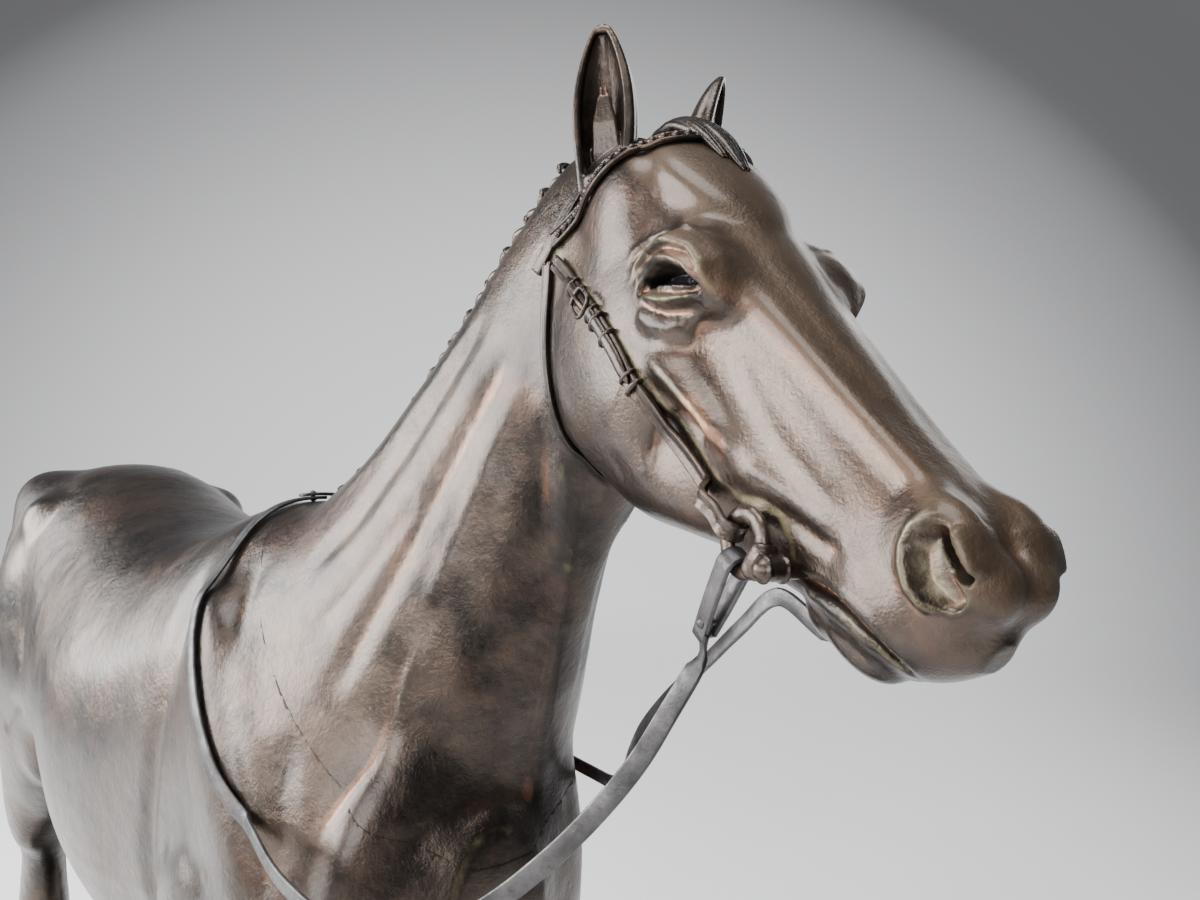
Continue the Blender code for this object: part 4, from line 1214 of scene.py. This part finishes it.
def make_mouthpiece():
    """The bar through the mouth, its collars, and the eye at each end that the ring runs through."""
    low, high = (BIT_U - 6, -21, BIT_V - 6), (BAR_U + 6, 21, BIT_V + 9)
    field = Field(low, high, BIT_STEP, HEAD_FRAME)
    bar = ((BAR_U, -12, BAR_V), (BAR_U, 0, BAR_V - 0.6), (BAR_U, 12, BAR_V))
    rope(field, HEAD_FRAME, bar, (1.45, 1.15, 1.45), 0.4)
    for side in (1, -1):
        rope(field, HEAD_FRAME, ((BAR_U, 11.6 * side, BAR_V), (BAR_U, 14.4 * side, BAR_V)), 1.75, 0.5)
        for w in (11.2, 14.6):
            ellipsoid(field, HEAD_FRAME, (BAR_U, w * side, BAR_V), (2.2, 0.6, 2.2), 0.3)
        cheek = ((BAR_U, 13 * side, BAR_V), (BIT_U + RING_RADIUS, BIT_W * side, BIT_V + 0.6))
        rope(field, HEAD_FRAME, cheek, (1.5, 1.9), 0.6)
        eye = [(BIT_U + RING_RADIUS, BIT_W * side, BIT_V + v) for v in (-1.2, 2.0)]
        rope(field, HEAD_FRAME, eye, 1.95, 0.4)
        slices, (u, w, v) = field.block(HEAD_FRAME, low, high)
        away = np.sqrt((u - BIT_U) ** 2 + (v - BIT_V) ** 2 + 0 * w) - RING_RADIUS
        field.cut(slices, np.sqrt((away / 1.45) ** 2 + (w - BIT_W * side) ** 2) - RING_WIRE - 0.2, 0.2)
    return measure_hollows(mesh_of(field, "bit_bar"), 3, 16)


# The reins


def rein_path(side):
    """Points and normals from the fold round the ring to just past the middle of the withers."""
    points, normals = fold_round_ring(side, REIN_FOLD, 14.0, 0.75)
    out, off, wire = wire_of_ring(side, REIN_FOLD)
    free = [points[-1], wire + off * 14.0 - out * 0.75]
    free += [Vector(p) for p in (RIGHT_FREE if side < 0 else LEFT_FREE)]
    route = resample([(x, turn, 0) for x, turn in ON_SHOULDER], 2.0)
    route += [Vector((89, -2.0, 0)), Vector((89, -4.0, 0))]
    turns = [math.radians(p.y) * side for p in route]
    inside = [Vector((p.x, 0, REIN_AXIS)) for p in route]
    outside = [p + Vector((0, math.sin(t), math.cos(t))) * 120 for p, t in zip(inside, turns)]
    resting, facing = laid(outside, inside, REIN_LIFT + REIN_THICKNESS / 2)
    over = 0.0 if side < 0 else REIN_THICKNESS + REIN_LAP
    rise = [over * max(0.0, min(1.0, (18 - p.y) / 12)) for p in route]
    resting = [p + n * lift for p, n, lift in zip(resting, facing, rise)]
    away = Vector((0, side, 0))
    hang = resample([*free, *resting[:1]], 3.0)
    share = [min(1.0, k / 9) for k in range(len(hang) - 1)]
    hang_normals = []
    for k, s in enumerate(share):
        turned = away + Vector((0.75 * math.sin(math.pi * min(1, k / (len(hang) * 0.85))), 0, 0))
        hang_normals.append((-out).lerp(-turned, s).normalized())
    points = [*points[:-1], *hang[:-1], *resting]
    normals = [*normals[:-1], *hang_normals, *(-n for n in facing)]
    return points, normals


def make_rein(side):
    bm = bmesh.new()
    points, normals = rein_path(side)
    points, normals = eased(points, normals, 1.2)
    normals = settled(normals, 3)
    w, t = REIN_WIDTH / 2, REIN_THICKNESS / 2
    half = [(-w, 0), (-w * 0.93, t * 0.8), (-w * 0.8, t), (0, t * 1.05), (w * 0.8, t), (w * 0.93, t * 0.8)]
    band(bm, points, normals, [*half, *((-across, -rise) for across, rise in half)])
    return from_bmesh(f"rein_strap_{WORD[side]}", bm)


def make_rivet(name, start, end):
    """A domed head at each end of a short pin."""
    bm = bmesh.new()
    along = (end - start).normalized()
    path = [start - along * gone for gone in (0.45, 0.25, 0, -0.02)]
    path += [end + along * gone for gone in (-0.02, 0, 0.25, 0.45)]
    tube(bm, path, (0.45, 0.85, 1.0, 0.62, 0.62, 1.0, 0.85, 0.45), 20)
    return from_bmesh(name, bm)


def make_rivets():
    made = {}
    top, normal = on_skin(Vector((89, 0, 420)), Vector((89, 0, 330)), 0)
    layers = REIN_LIFT + 2 * REIN_THICKNESS + REIN_LAP
    made["rivet_withers"] = make_rivet("pin_withers", top + normal * REIN_LIFT, top + normal * layers)
    for side, word in WORD.items():
        out, off, wire = wire_of_ring(side, REIN_FOLD)
        place = wire + off * RIVET_PLACE
        half = 0.95 + REIN_THICKNESS / 2 + 0.1
        made[f"rivet_{word}"] = make_rivet(f"pin_{word}", place - out * half, place + out * half)
    return made


# The base


def rounded_rectangle(bm, z, length, width, radius, along=60, corner=10):
    """A level ring with rounded corners and points along its sides."""
    points = []
    for k, (cx, cy) in enumerate(((1, 1), (-1, 1), (-1, -1), (1, -1))):
        centre = Vector((cx * (length / 2 - radius), cy * (width / 2 - radius), z))
        for j in range(corner + 1):
            a = math.radians(90 * k + 90 * j / corner)
            points.append(centre + Vector((math.cos(a), math.sin(a), 0)) * radius)
        nx, ny = ((-1, 1), (-1, -1), (1, -1), (1, 1))[k]
        side = 90 * (k + 1)
        following = Vector((nx * (length / 2 - radius), ny * (width / 2 - radius), z))
        a = math.radians(side)
        following += Vector((math.cos(a), math.sin(a), 0)) * radius
        last = points[-1]
        points += [last.lerp(following, j / along) for j in range(1, along)]
    return [bm.verts.new(p * MM) for p in points]


def slab(name, levels, sharp=None):
    bm = bmesh.new()
    rings = [rounded_rectangle(bm, *level) for level in levels]
    join_rows(bm, rings)
    for ring in (rings[0], rings[-1]):
        close_row(bm, ring, Vector((0, 0, ring[0].co.z)))
    return from_bmesh(name, bm, sharp)


def curved(levels, steps):
    """The levels of a moulding with smooth curves between them."""
    fine = []
    for a, b in zip(levels, levels[1:]):
        for j in range(steps):
            t = j / steps
            ease = t * t * (3 - 2 * t)
            fine.append((a[0] + (b[0] - a[0]) * t, *(a[m] + (b[m] - a[m]) * ease for m in (1, 2, 3))))
    return [*fine, levels[-1]]


def make_plinth():
    low, top = FELT_THICKNESS + 0.3, PLINTH_TOP
    length, width = PLINTH_LENGTH, PLINTH_WIDTH
    levels = (
        (low, length - 3, width - 3, 6),
        (low + 0.7, length - 0.8, width - 0.8, 7),
        (low + 1.5, length, width, 7),
        (low + 6.8, length, width, 7),
        (low + 7.6, length - 0.8, width - 0.8, 7),
        (low + 8.3, length - 4, width - 4, 6),
        (low + 8.9, length - 4.6, width - 4.6, 6),
        (low + 10.8, length - 9.2, width - 9.2, 6),
        (low + 13.6, length - 12.6, width - 12.6, 6),
        (low + 15, length - 13, width - 13, 6),
        (top - 2.2, length - 15, width - 15, 6),
        (top - 1.0, length - 15.6, width - 15.6, 6),
        (top - 0.3, length - 17, width - 17, 5),
        (top, length - 19, width - 19, 5),
    )
    return slab("plinth_wood", curved(levels, 4), 35)


def make_felt():
    length, width = PLINTH_LENGTH - 12, PLINTH_WIDTH - 12
    levels = (
        (0, length - 1, width - 1, 5),
        (0.4, length, width, 5),
        (FELT_THICKNESS - 0.4, length, width, 5),
        (FELT_THICKNESS, length - 1, width - 1, 5),
    )
    return slab("felt_pad", curved(levels, 3))


def make_plate():
    """The bronze ground: a plate with a softened edge and uneven, tooled earth on top."""
    low, top = PLINTH_TOP + 0.3, PLATE_TOP
    box = (-174, -64, low - 3), (174, 64, top + 3)
    field = Field(*box, PLATE_STEP, STATUE)
    slices, (x, y, z) = field.block(STATUE, *box)
    qx, qy = np.abs(x) - (PLATE_LENGTH / 2 - 5), np.abs(y) - (PLATE_WIDTH / 2 - 5)
    side = np.sqrt(np.maximum(qx, 0) ** 2 + np.maximum(qy, 0) ** 2) + np.minimum(np.maximum(qx, qy), 0) - 5
    ground = 0
    rng = np.random.default_rng(5)
    for pitch, height in ((60, 0.16), (38, 0.13), (24, 0.11), (15, 0.09), (9, 0.07), (6, 0.05)):
        for _ in range(5):
            turn, phase = rng.uniform(0, math.pi), rng.uniform(0, 2 * math.pi)
            wave = 2 * math.pi / (pitch * rng.uniform(0.8, 1.25))
            ground = ground + height * np.sin(wave * (math.cos(turn) * x + math.sin(turn) * y) + phase)
    inward = np.clip(-side / 6, 0, 1)
    upper = z - (top - 0.25 + ground * inward)
    bevel = (side + upper + 1.6) / 1.414
    field.add(slices, np.maximum.reduce(np.broadcast_arrays(side, upper, bevel, low - z)), 0)
    return measure_hollows(mesh_of(field, "plate_ground"), 2, 14)


# Materials -----------------------------------------------------------------------------------------


class Look:
    """A material built from nodes, with short ways to add and join them."""

    def __init__(self, name):
        self.material = bpy.data.materials.new(name)
        self.material.use_nodes = True
        self.tree = self.material.node_tree
        self.shader = self.tree.nodes["Principled BSDF"]
        self.coordinates = self.node("ShaderNodeTexCoord").outputs["Object"]

    def node(self, kind, **settings):
        made = self.tree.nodes.new(kind)
        for key, value in settings.items():
            setattr(made, key, value)
        return made

    def feed(self, socket, value):
        if isinstance(value, bpy.types.NodeSocket):
            self.tree.links.new(value, socket)
        else:
            socket.default_value = value

    def noise(self, scale, detail=4.0, rough=0.55, stretch=None, distortion=0.0):
        made = self.node("ShaderNodeTexNoise")
        made.inputs["Scale"].default_value = scale
        made.inputs["Detail"].default_value = detail
        made.inputs["Roughness"].default_value = rough
        made.inputs["Distortion"].default_value = distortion
        source = self.coordinates
        if stretch:
            mapping = self.node("ShaderNodeMapping")
            mapping.inputs["Scale"].default_value = stretch
            self.tree.links.new(source, mapping.inputs["Vector"])
            source = mapping.outputs["Vector"]
        self.tree.links.new(source, made.inputs["Vector"])
        return made.outputs["Fac"]

    def attribute(self, name):
        return self.node("ShaderNodeAttribute", attribute_name=name).outputs["Fac"]

    def math(self, operation, a, b, clamp=False):
        made = self.node("ShaderNodeMath", operation=operation, use_clamp=clamp)
        self.feed(made.inputs[0], a)
        self.feed(made.inputs[1], b)
        return made.outputs[0]

    def times(self, a, b):
        return self.math("MULTIPLY", a, b)

    def plus(self, a, b, clamp=False):
        return self.math("ADD", a, b, clamp)

    def less(self, a, b, clamp=False):
        return self.math("SUBTRACT", a, b, clamp)

    def most(self, a, b):
        return self.math("MAXIMUM", a, b)

    def ease(self, value, low, high, to_low=0.0, to_high=1.0):
        made = self.node("ShaderNodeMapRange", interpolation_type="SMOOTHSTEP")
        self.feed(made.inputs["Value"], value)
        made.inputs["From Min"].default_value = low
        made.inputs["From Max"].default_value = high
        made.inputs["To Min"].default_value = to_low
        made.inputs["To Max"].default_value = to_high
        return made.outputs["Result"]

    def mix(self, share, a, b):
        made = self.node("ShaderNodeMix", data_type="RGBA")
        self.feed(made.inputs["Factor"], share)
        for socket, value in ((made.inputs["A"], a), (made.inputs["B"], b)):
            self.feed(socket, (*value, 1.0) if isinstance(value, tuple) else value)
        return made.outputs["Result"]

    def bump(self, *layers):
        """Layers of height, each a socket and its depth in millimetres."""
        normal = None
        for height, depth in layers:
            made = self.node("ShaderNodeBump")
            made.inputs["Distance"].default_value = depth * MM
            made.inputs["Strength"].default_value = 1.0
            self.tree.links.new(height, made.inputs["Height"])
            if normal:
                self.tree.links.new(normal, made.inputs["Normal"])
            normal = made.outputs["Normal"]
        self.tree.links.new(normal, self.shader.inputs["Normal"])

    def set(self, **values):
        for name, value in values.items():
            self.feed(self.shader.inputs[name.replace("_", " ")], value)


DARK = (0.024, 0.0195, 0.0172)
BROWN = (0.078, 0.057, 0.045)
REDDISH = (0.104, 0.060, 0.042)
COPPER = (0.33, 0.165, 0.10)
VERDIGRIS = (0.205, 0.180, 0.080)
MATT_BROWN = (0.070, 0.044, 0.026)
PALE_CRUST = (0.30, 0.275, 0.18)
TAN = (0.19, 0.12, 0.07)
# near black, painted as shade into the eye hollows and nostril slits
SHADE_BLACK = (0.006, 0.005, 0.0045)


def bronze(name, green=1.0, worn=1.0, dark=0.0, face=False):
    """Brown-black bronze: reddish where rubbed, yellow-green in its hollows, darkened in its hollows as painted
    shade, with a casting's grain.
    """
    look = Look(name)
    large, middle = look.noise(22, 3), look.noise(95, 5, 0.6)
    small, grain = look.noise(420, 5, 0.65), look.noise(1900, 3, 0.6)
    cast = look.noise(900, 4, 0.7)
    fine, wide = look.attribute("hollow_fine"), look.attribute("hollow_broad")
    tone = look.plus(look.times(large, 0.55), look.times(middle, 0.45))
    colour = look.mix(look.ease(tone, 0.38 + dark, 0.60 + dark), DARK, BROWN)
    reddish = look.plus(look.times(look.noise(34, 4, 0.6), 0.8), look.times(small, 0.2))
    colour = look.mix(look.ease(reddish, 0.50, 0.66, 0.0, 0.55 * worn), colour, REDDISH)
    ridge = look.ease(look.less(look.times(small, 1.4), fine), 2.2, 4.8)
    high = look.ease(look.less(look.times(middle, 1.2), wide), 2.0, 4.4)
    rubbed = look.most(ridge, look.times(high, 0.6))
    colour = look.mix(look.times(rubbed, 0.42 * worn), colour, COPPER)
    # how deep each point lies in a hollow, plus random noise: it darkens the colour towards DARK as painted
    # shade, and deeper down it grows the real verdigris crust
    sunk = look.plus(fine, look.times(wide, 0.7))
    sunk = look.plus(sunk, look.times(middle, 0.9))
    # painted shade: the hollows darkened towards DARK
    colour = look.mix(look.ease(sunk, 1.2, 3.2, 0.0, 0.6), colour, DARK)
    crust = look.times(look.ease(sunk, 3.2, 6.0), look.ease(look.noise(60, 4, 0.7), 0.42, 0.62))
    crust = look.times(crust, 0.55 * green)
    colour = look.mix(crust, colour, VERDIGRIS)
    specks = look.times(look.ease(look.noise(520, 2, 0.5), 0.66, 0.74), look.ease(large, 0.45, 0.65))
    colour = look.mix(look.times(specks, 0.4), colour, TAN)
    if face:
        matt = look.times(look.attribute("brow_plane"), look.ease(middle, 0.25, 0.60, 0.6, 0.95))
        colour = look.mix(matt, colour, MATT_BROWN)
        lit = look.times(look.attribute("patina"), look.ease(small, 0.32, 0.60, 0.25, 0.85))
        colour = look.mix(lit, colour, VERDIGRIS)
        pale = look.times(look.attribute("pale"), look.ease(small, 0.32, 0.62, 0.3, 0.85))
        colour = look.mix(pale, colour, PALE_CRUST)
        rub = look.times(look.attribute("rubbed"), look.ease(small, 0.25, 0.60, 0.2, 0.8))
        colour = look.mix(rub, colour, COPPER)
        # painted shade: near black in the eye hollows and nostril slits
        colour = look.mix(look.attribute("black"), colour, SHADE_BLACK)
        crust = look.most(crust, look.most(lit, pale))
    speed = look.plus(look.times(middle, 0.6), look.times(small, 0.4))
    rough = look.plus(look.ease(speed, 0.3, 0.7, 0.26, 0.40), look.times(crust, 0.35), True)
    if face:
        rough = look.plus(rough, look.times(matt, 0.22), True)
        rough = look.plus(rough, look.times(look.attribute("black"), 0.5), True)
    metal = look.less(0.90, look.times(crust, 0.7), True)
    if face:
        metal = look.less(metal, look.times(matt, 0.35), True)
    look.set(Base_Color=colour, Roughness=rough, Metallic=metal)
    look.set(Coat_Weight=0.25, Coat_Roughness=0.20)
    dents, broad = look.noise(150, 3, 0.5), look.noise(80, 3, 0.5)
    look.bump((grain, 0.07), (cast, 0.15), (small, 0.13), (dents, 0.20), (broad, 0.1 if face else 0.8))
    return look.material


def pewter():
    look = Look("rein_metal")
    middle, small, grain = look.noise(120, 5, 0.6), look.noise(600, 5, 0.65), look.noise(2200, 3)
    colour = look.mix(look.ease(middle, 0.35, 0.65), (0.052, 0.050, 0.051), (0.112, 0.107, 0.109))
    colour = look.mix(look.ease(small, 0.55, 0.75, 0.0, 0.6), colour, (0.030, 0.028, 0.030))
    colour = look.mix(look.ease(look.noise(45, 3), 0.55, 0.75, 0.0, 0.35), colour, (0.16, 0.115, 0.085))
    look.set(Base_Color=colour, Roughness=look.ease(small, 0.3, 0.7, 0.36, 0.54), Metallic=0.8)
    look.bump((grain, 0.03), (small, 0.10), (middle, 0.2))
    return look.material


def steel():
    look = Look("fixing_steel")
    brushed, middle = look.noise(900, 4, 0.6, (1, 1, 12)), look.noise(160, 4)
    colour = look.mix(look.ease(middle, 0.35, 0.7), (0.36, 0.36, 0.37), (0.56, 0.55, 0.54))
    look.set(Base_Color=colour, Roughness=look.ease(brushed, 0.3, 0.7, 0.28, 0.45), Metallic=1.0)
    look.bump((brushed, 0.02))
    return look.material


def wood():
    """Ebonised hardwood: dark pores along the grain under a worn polish."""
    look = Look("plinth_wood_polish")
    grain = look.noise(70, 6, 0.62, (0.06, 1.0, 1.0), 0.6)
    pores = look.noise(900, 3, 0.6, (0.035, 1.0, 1.0))
    broad = look.noise(14, 3, 0.5, (0.25, 1, 1))
    tone = look.plus(look.times(grain, 0.7), look.times(broad, 0.3))
    colour = look.mix(look.ease(tone, 0.36, 0.64), (0.013, 0.0075, 0.0055), (0.060, 0.030, 0.017))
    colour = look.mix(look.ease(pores, 0.56, 0.70, 0.0, 0.75), colour, (0.006, 0.004, 0.003))
    polish = look.plus(look.times(pores, 0.5), look.times(look.noise(160), 0.5))
    rough = look.ease(polish, 0.35, 0.65, 0.24, 0.40)
    look.set(Base_Color=colour, Roughness=rough, Coat_Weight=0.4, Coat_Roughness=0.12)
    look.bump((pores, 0.05), (grain, 0.08))
    return look.material


def felt():
    look = Look("felt_fibre")
    fibres = look.noise(1500, 6, 0.75, (1, 0.35, 1), 1.2)
    cross = look.noise(1100, 6, 0.75, (0.35, 1, 1), 1.2)
    both = look.times(look.plus(fibres, cross), 0.5)
    colour = look.mix(look.ease(both, 0.35, 0.65), (0.010, 0.030, 0.018), (0.035, 0.075, 0.045))
    look.set(Base_Color=colour, Roughness=look.ease(both, 0.3, 0.7, 0.85, 0.98))
    look.set(Sheen_Weight=0.4, Sheen_Roughness=0.5)
    look.bump((both, 0.15))
    return look.material


def paint_head(piece):
    """Marks on the head's vertices its matt nose plane, its patinated folds, its rubbed places, and the
    near-black painted shade in the eye hollows and nostril slits.
    """
    mesh = piece.data
    back = np.array(HEAD_FRAME.inverted())
    local = (read_points(mesh) / MM) @ back[:3, :3].T + back[:3, 3]
    u, w, v = local.T

    def fade(value, low, high):
        t = np.clip((value - low) / (high - low), 0, 1)
        return t * t * (3 - 2 * t)

    def near(path, reach, width):
        """How near each vertex is, in side view, to a line of u, v points."""
        best = np.full(len(u), 1e9)
        for (au, av), (bu, bv) in zip(path, path[1:]):
            du, dv = bu - au, bv - av
            share = np.clip(((u - au) * du + (v - av) * dv) / max(du * du + dv * dv, 1e-6), 0, 1)
            best = np.minimum(best, np.hypot(u - au - du * share, v - av - dv * share))
        return (1 - fade(best, width, width + reach)) * (np.abs(w) > 4)

    edge = np.interp(u, (8, 36, 56, 84, 104, 112), (11.5, 10.5, 7.6, 6.8, 6.4, 2.0))
    plane = fade(v, edge - 0.9, edge + 0.9) * fade(u, 4, 18)
    lids = ((33.0, -2.0), (32.2, 0.4), (33.2, 3.4), (36.4, 6.2), (40.6, 8.8), (44.6, 10.0), (48.0, 9.4))
    lower = ((35.8, -1.2), (39.4, 0.0), (42.4, 1.4), (45.4, 3.6), (48.0, 5.4))
    strap = ((4, -12.2), (14, -10.8), (26, -10.0), (36, -10.4), (46, -12.6), (56, -15.0), (66, -16.0))
    round_ring = ((74, -14.4), (78, -11.6), (82, -10.8), (86, -12.4), (88.6, -16.0))
    rim = ((102.4, 7.0), (101.7, 4.8), (102.4, 2.4), (104.1, 0.4), (106.4, -1.1))
    inside = ((104.6, 3.6), (106.0, 1.8), (108.0, 0.8), (110.4, 0.6))
    patina = np.maximum.reduce(
        [
            0.35 * near(EYE_FOLD, 0.5, 0.2),
            0.45 * near(lower, 0.8, 0.3),
            0.6 * near((*strap, (74, -14.6)), 0.6, 0.1),
            0.8 * near(round_ring, 0.7, 0.2),
            0.12 * near(rim, 0.8, 0.2),
            0.5 * near(((-1, -12), (0, 0), (1, 16)), 2.0, 1.4) * (v > -14),
        ]
    )
    pale = np.maximum(0.6 * near(inside, 1.2, 0.4), 0.4 * near(((101.9, 6.6), (101.6, 4.4)), 1.0, 0.3))
    # painted shade: the eye hollow and the nostril slit, later coloured near black
    black = np.maximum(near(EYE_HOLLOW, 0.5, 0.9), 0.8 * near(NOSTRIL_SLIT, 0.6, 0.3))
    rubbed = np.maximum.reduce(
        [
            0.9 * near(((58, -9.2), (66, -10.8)), 2.2, 0.7),
            0.5 * near(lids, 0.6, 0.2),
            0.18 * near(((40, 10.6), (56, 8.0), (78, 7.2), (97, 6.9)), 1.8, 0.4),
        ]
    )
    store(mesh, "brow_plane", plane)
    store(mesh, "patina", patina)
    store(mesh, "pale", pale)
    store(mesh, "black", black)
    store(mesh, "rubbed", rubbed)


# Assembly ------------------------------------------------------------------------------------------

castings = make_horse()
SKIN = skin_tree(castings["trunk_casting"], castings["neck_casting"], castings["head_casting"])
paint_head(castings["head_casting"])

BODY_BRONZE = bronze("bronze_body")
HEAD_BRONZE = bronze("bronze_head", green=0.55, face=True)
EAR_BRONZE = bronze("bronze_ears", green=0.8, dark=0.02)
HAIR_BRONZE = bronze("bronze_hair", green=1.3, worn=0.8, dark=0.03)
STRAP_BRONZE = bronze("bronze_straps", green=1.3, worn=1.1, dark=0.02)
PLATE_BRONZE = bronze("bronze_plate", dark=0.04)
REIN_METAL, WOOD, FELT, STEEL = pewter(), wood(), felt(), steel()


def finish(piece, material, slot, body, *nodes):
    piece.data.materials.clear()
    piece.data.materials.append(material)
    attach(piece, body)
    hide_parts(*nodes)


for node, piece in castings.items():
    finish(piece, HEAD_BRONZE if node == "head_casting" else BODY_BRONZE, "bronze", "statue", node)
for side, word in WORD.items():
    finish(make_ear(side), EAR_BRONZE, "bronze", "statue", f"ear_{word}")
    finish(measure_hollows(make_cheekpiece(side), 1, 4), STRAP_BRONZE, "bronze", "statue", f"cheekpiece_{word}")
    finish(measure_hollows(make_ring(side), 1, 4), STRAP_BRONZE, "bronze", "statue", f"bit_ring_{word}")
    finish(make_rein(side), REIN_METAL, "strap_bronze", "reins", f"rein_{word}")
for make, material, node in (
    (make_forelock, HAIR_BRONZE, "forelock"),
    (make_mane, HAIR_BRONZE, "mane_plaits"),
    (make_tail, HAIR_BRONZE, "tail"),
    (make_crownpiece, STRAP_BRONZE, "crownpiece"),
    (make_browband, STRAP_BRONZE, "browband"),
    (make_throatlatch, STRAP_BRONZE, "throatlatch"),
    (make_mouthpiece, STRAP_BRONZE, "bit_mouthpiece"),
    (make_plate, PLATE_BRONZE, "base_plate"),
):
    piece = make()
    if "hollow_fine" not in piece.data.attributes:
        measure_hollows(piece, 1, 5)
    finish(piece, material, "bronze", "statue", node)
for node, piece in make_rivets().items():
    finish(piece, REIN_METAL, "strap_bronze", "reins", node)
finish(make_plinth(), WOOD, "wood", "statue", "plinth")
finish(make_felt(), FELT, "felt", "statue", "felt_underlay")
for kind in ("stud", "washer", "nut"):
    for leg in ("foreleg_left", "foreleg_right", "hindleg_left", "hindleg_right"):
        fixing = bpy.data.objects[f"{kind}_{leg}"]
        for slot in fixing.material_slots:
            slot.material = STEEL


# Camera, floor and light ---------------------------------------------------------------------------


def make_camera():
    eye = Vector((364.6, -115.0, 395.9)) * MM
    yaw, pitch, roll = (math.radians(a) for a in (141.7, 4.1, 1.4))
    ahead = Vector((math.cos(yaw) * math.cos(pitch), math.sin(yaw) * math.cos(pitch), -math.sin(pitch)))
    level = Vector((math.sin(yaw), -math.cos(yaw), 0))
    rise = level.cross(ahead)
    right = level * math.cos(roll) + rise * math.sin(roll)
    up = rise * math.cos(roll) - level * math.sin(roll)
    data = bpy.data.cameras.new("camera")
    data.sensor_width = 36
    data.lens = 30.75
    data.clip_start = 0.005
    camera = bpy.data.objects.new("camera", data)
    camera.matrix_world = Matrix((right, up, -ahead)).transposed().to_4x4()
    camera.matrix_world.translation = eye
    bpy.context.scene.collection.objects.link(camera)
    bpy.context.scene.camera = camera


def make_floor():
    bm = bmesh.new()
    bmesh.ops.create_circle(bm, cap_ends=True, segments=96, radius=4.0)
    floor = from_bmesh("floor", bm)
    look = Look("floor_paper")
    distance = look.node("ShaderNodeVectorMath", operation="LENGTH")
    look.tree.links.new(look.coordinates, distance.inputs[0])
    away = distance.outputs["Value"]
    colour = look.mix(look.ease(look.noise(6, 3), 0.3, 0.7), (0.93, 0.93, 0.93), (0.90, 0.90, 0.905))
    look.set(Alpha=look.ease(away, 0.45, 1.5, 1.0, 0.0))
    look.set(Base_Color=colour, Roughness=look.ease(look.noise(400), 0.3, 0.7, 0.65, 0.8))
    look.bump((look.noise(900), 0.05))
    floor.data.materials.append(look.material)


def make_world():
    """A pale backdrop, brightest low behind the statue, falling off to grey, and a dim room elsewhere."""
    world = bpy.data.worlds.new("world")
    bpy.context.scene.world = world
    world.use_nodes = True
    nodes, links = world.node_tree.nodes, world.node_tree.links
    where = nodes.new("ShaderNodeTexCoord")
    towards = nodes.new("ShaderNodeVectorMath")
    towards.operation = "DOT_PRODUCT"
    links.new(where.outputs["Generated"], towards.inputs[0])
    towards.inputs[1].default_value = Vector((-0.822, 0.569, -0.306)).normalized()
    scaled = nodes.new("ShaderNodeMapRange")
    scaled.inputs["From Min"].default_value = -1.0
    links.new(towards.outputs["Value"], scaled.inputs["Value"])
    ramp = nodes.new("ShaderNodeValToRGB")
    links.new(scaled.outputs["Result"], ramp.inputs["Fac"])
    stops = (
        (0.000, 0.20),
        (0.600, 0.22),
        (0.850, 0.14),
        (0.878, 0.15),
        (0.893, 0.31),
        (0.908, 0.42),
        (0.923, 0.56),
        (0.940, 0.74),
        (0.960, 0.95),
        (1.000, 1.25),
    )
    elements = ramp.color_ramp.elements
    while len(elements) < len(stops):
        elements.new(0.5)
    for element, (position, level) in zip(elements, stops):
        element.position = position
        element.color = (level * 0.985, level * 0.992, level * 1.02, 1)
    links.new(ramp.outputs["Color"], nodes["Background"].inputs["Color"])


def make_lamp(name, place, target, size, power):
    lamp = bpy.data.lights.new(name, "AREA")
    lamp.shape = "RECTANGLE"
    lamp.size, lamp.size_y = size
    lamp.energy = power
    made = bpy.data.objects.new(name, lamp)
    made.location = place
    made.rotation_euler = (Vector(target) - Vector(place)).to_track_quat("-Z", "Y").to_euler()
    bpy.context.scene.collection.objects.link(made)


make_camera()
make_floor()
make_world()
make_lamp("window", (-0.75, -0.95, 0.62), (0.02, 0.0, 0.30), (1.1, 0.8), 48)
make_lamp("front", (0.55, -1.05, 0.60), (0.10, 0.0, 0.30), (0.7, 0.5), 13)
make_lamp("ceiling", (0.10, -0.30, 1.45), (0.15, 0.0, 0.10), (0.7, 0.6), 16)
make_lamp("far_side", (-0.2, 1.3, 0.9), (0.0, 0.0, 0.25), (0.9, 0.6), 6)
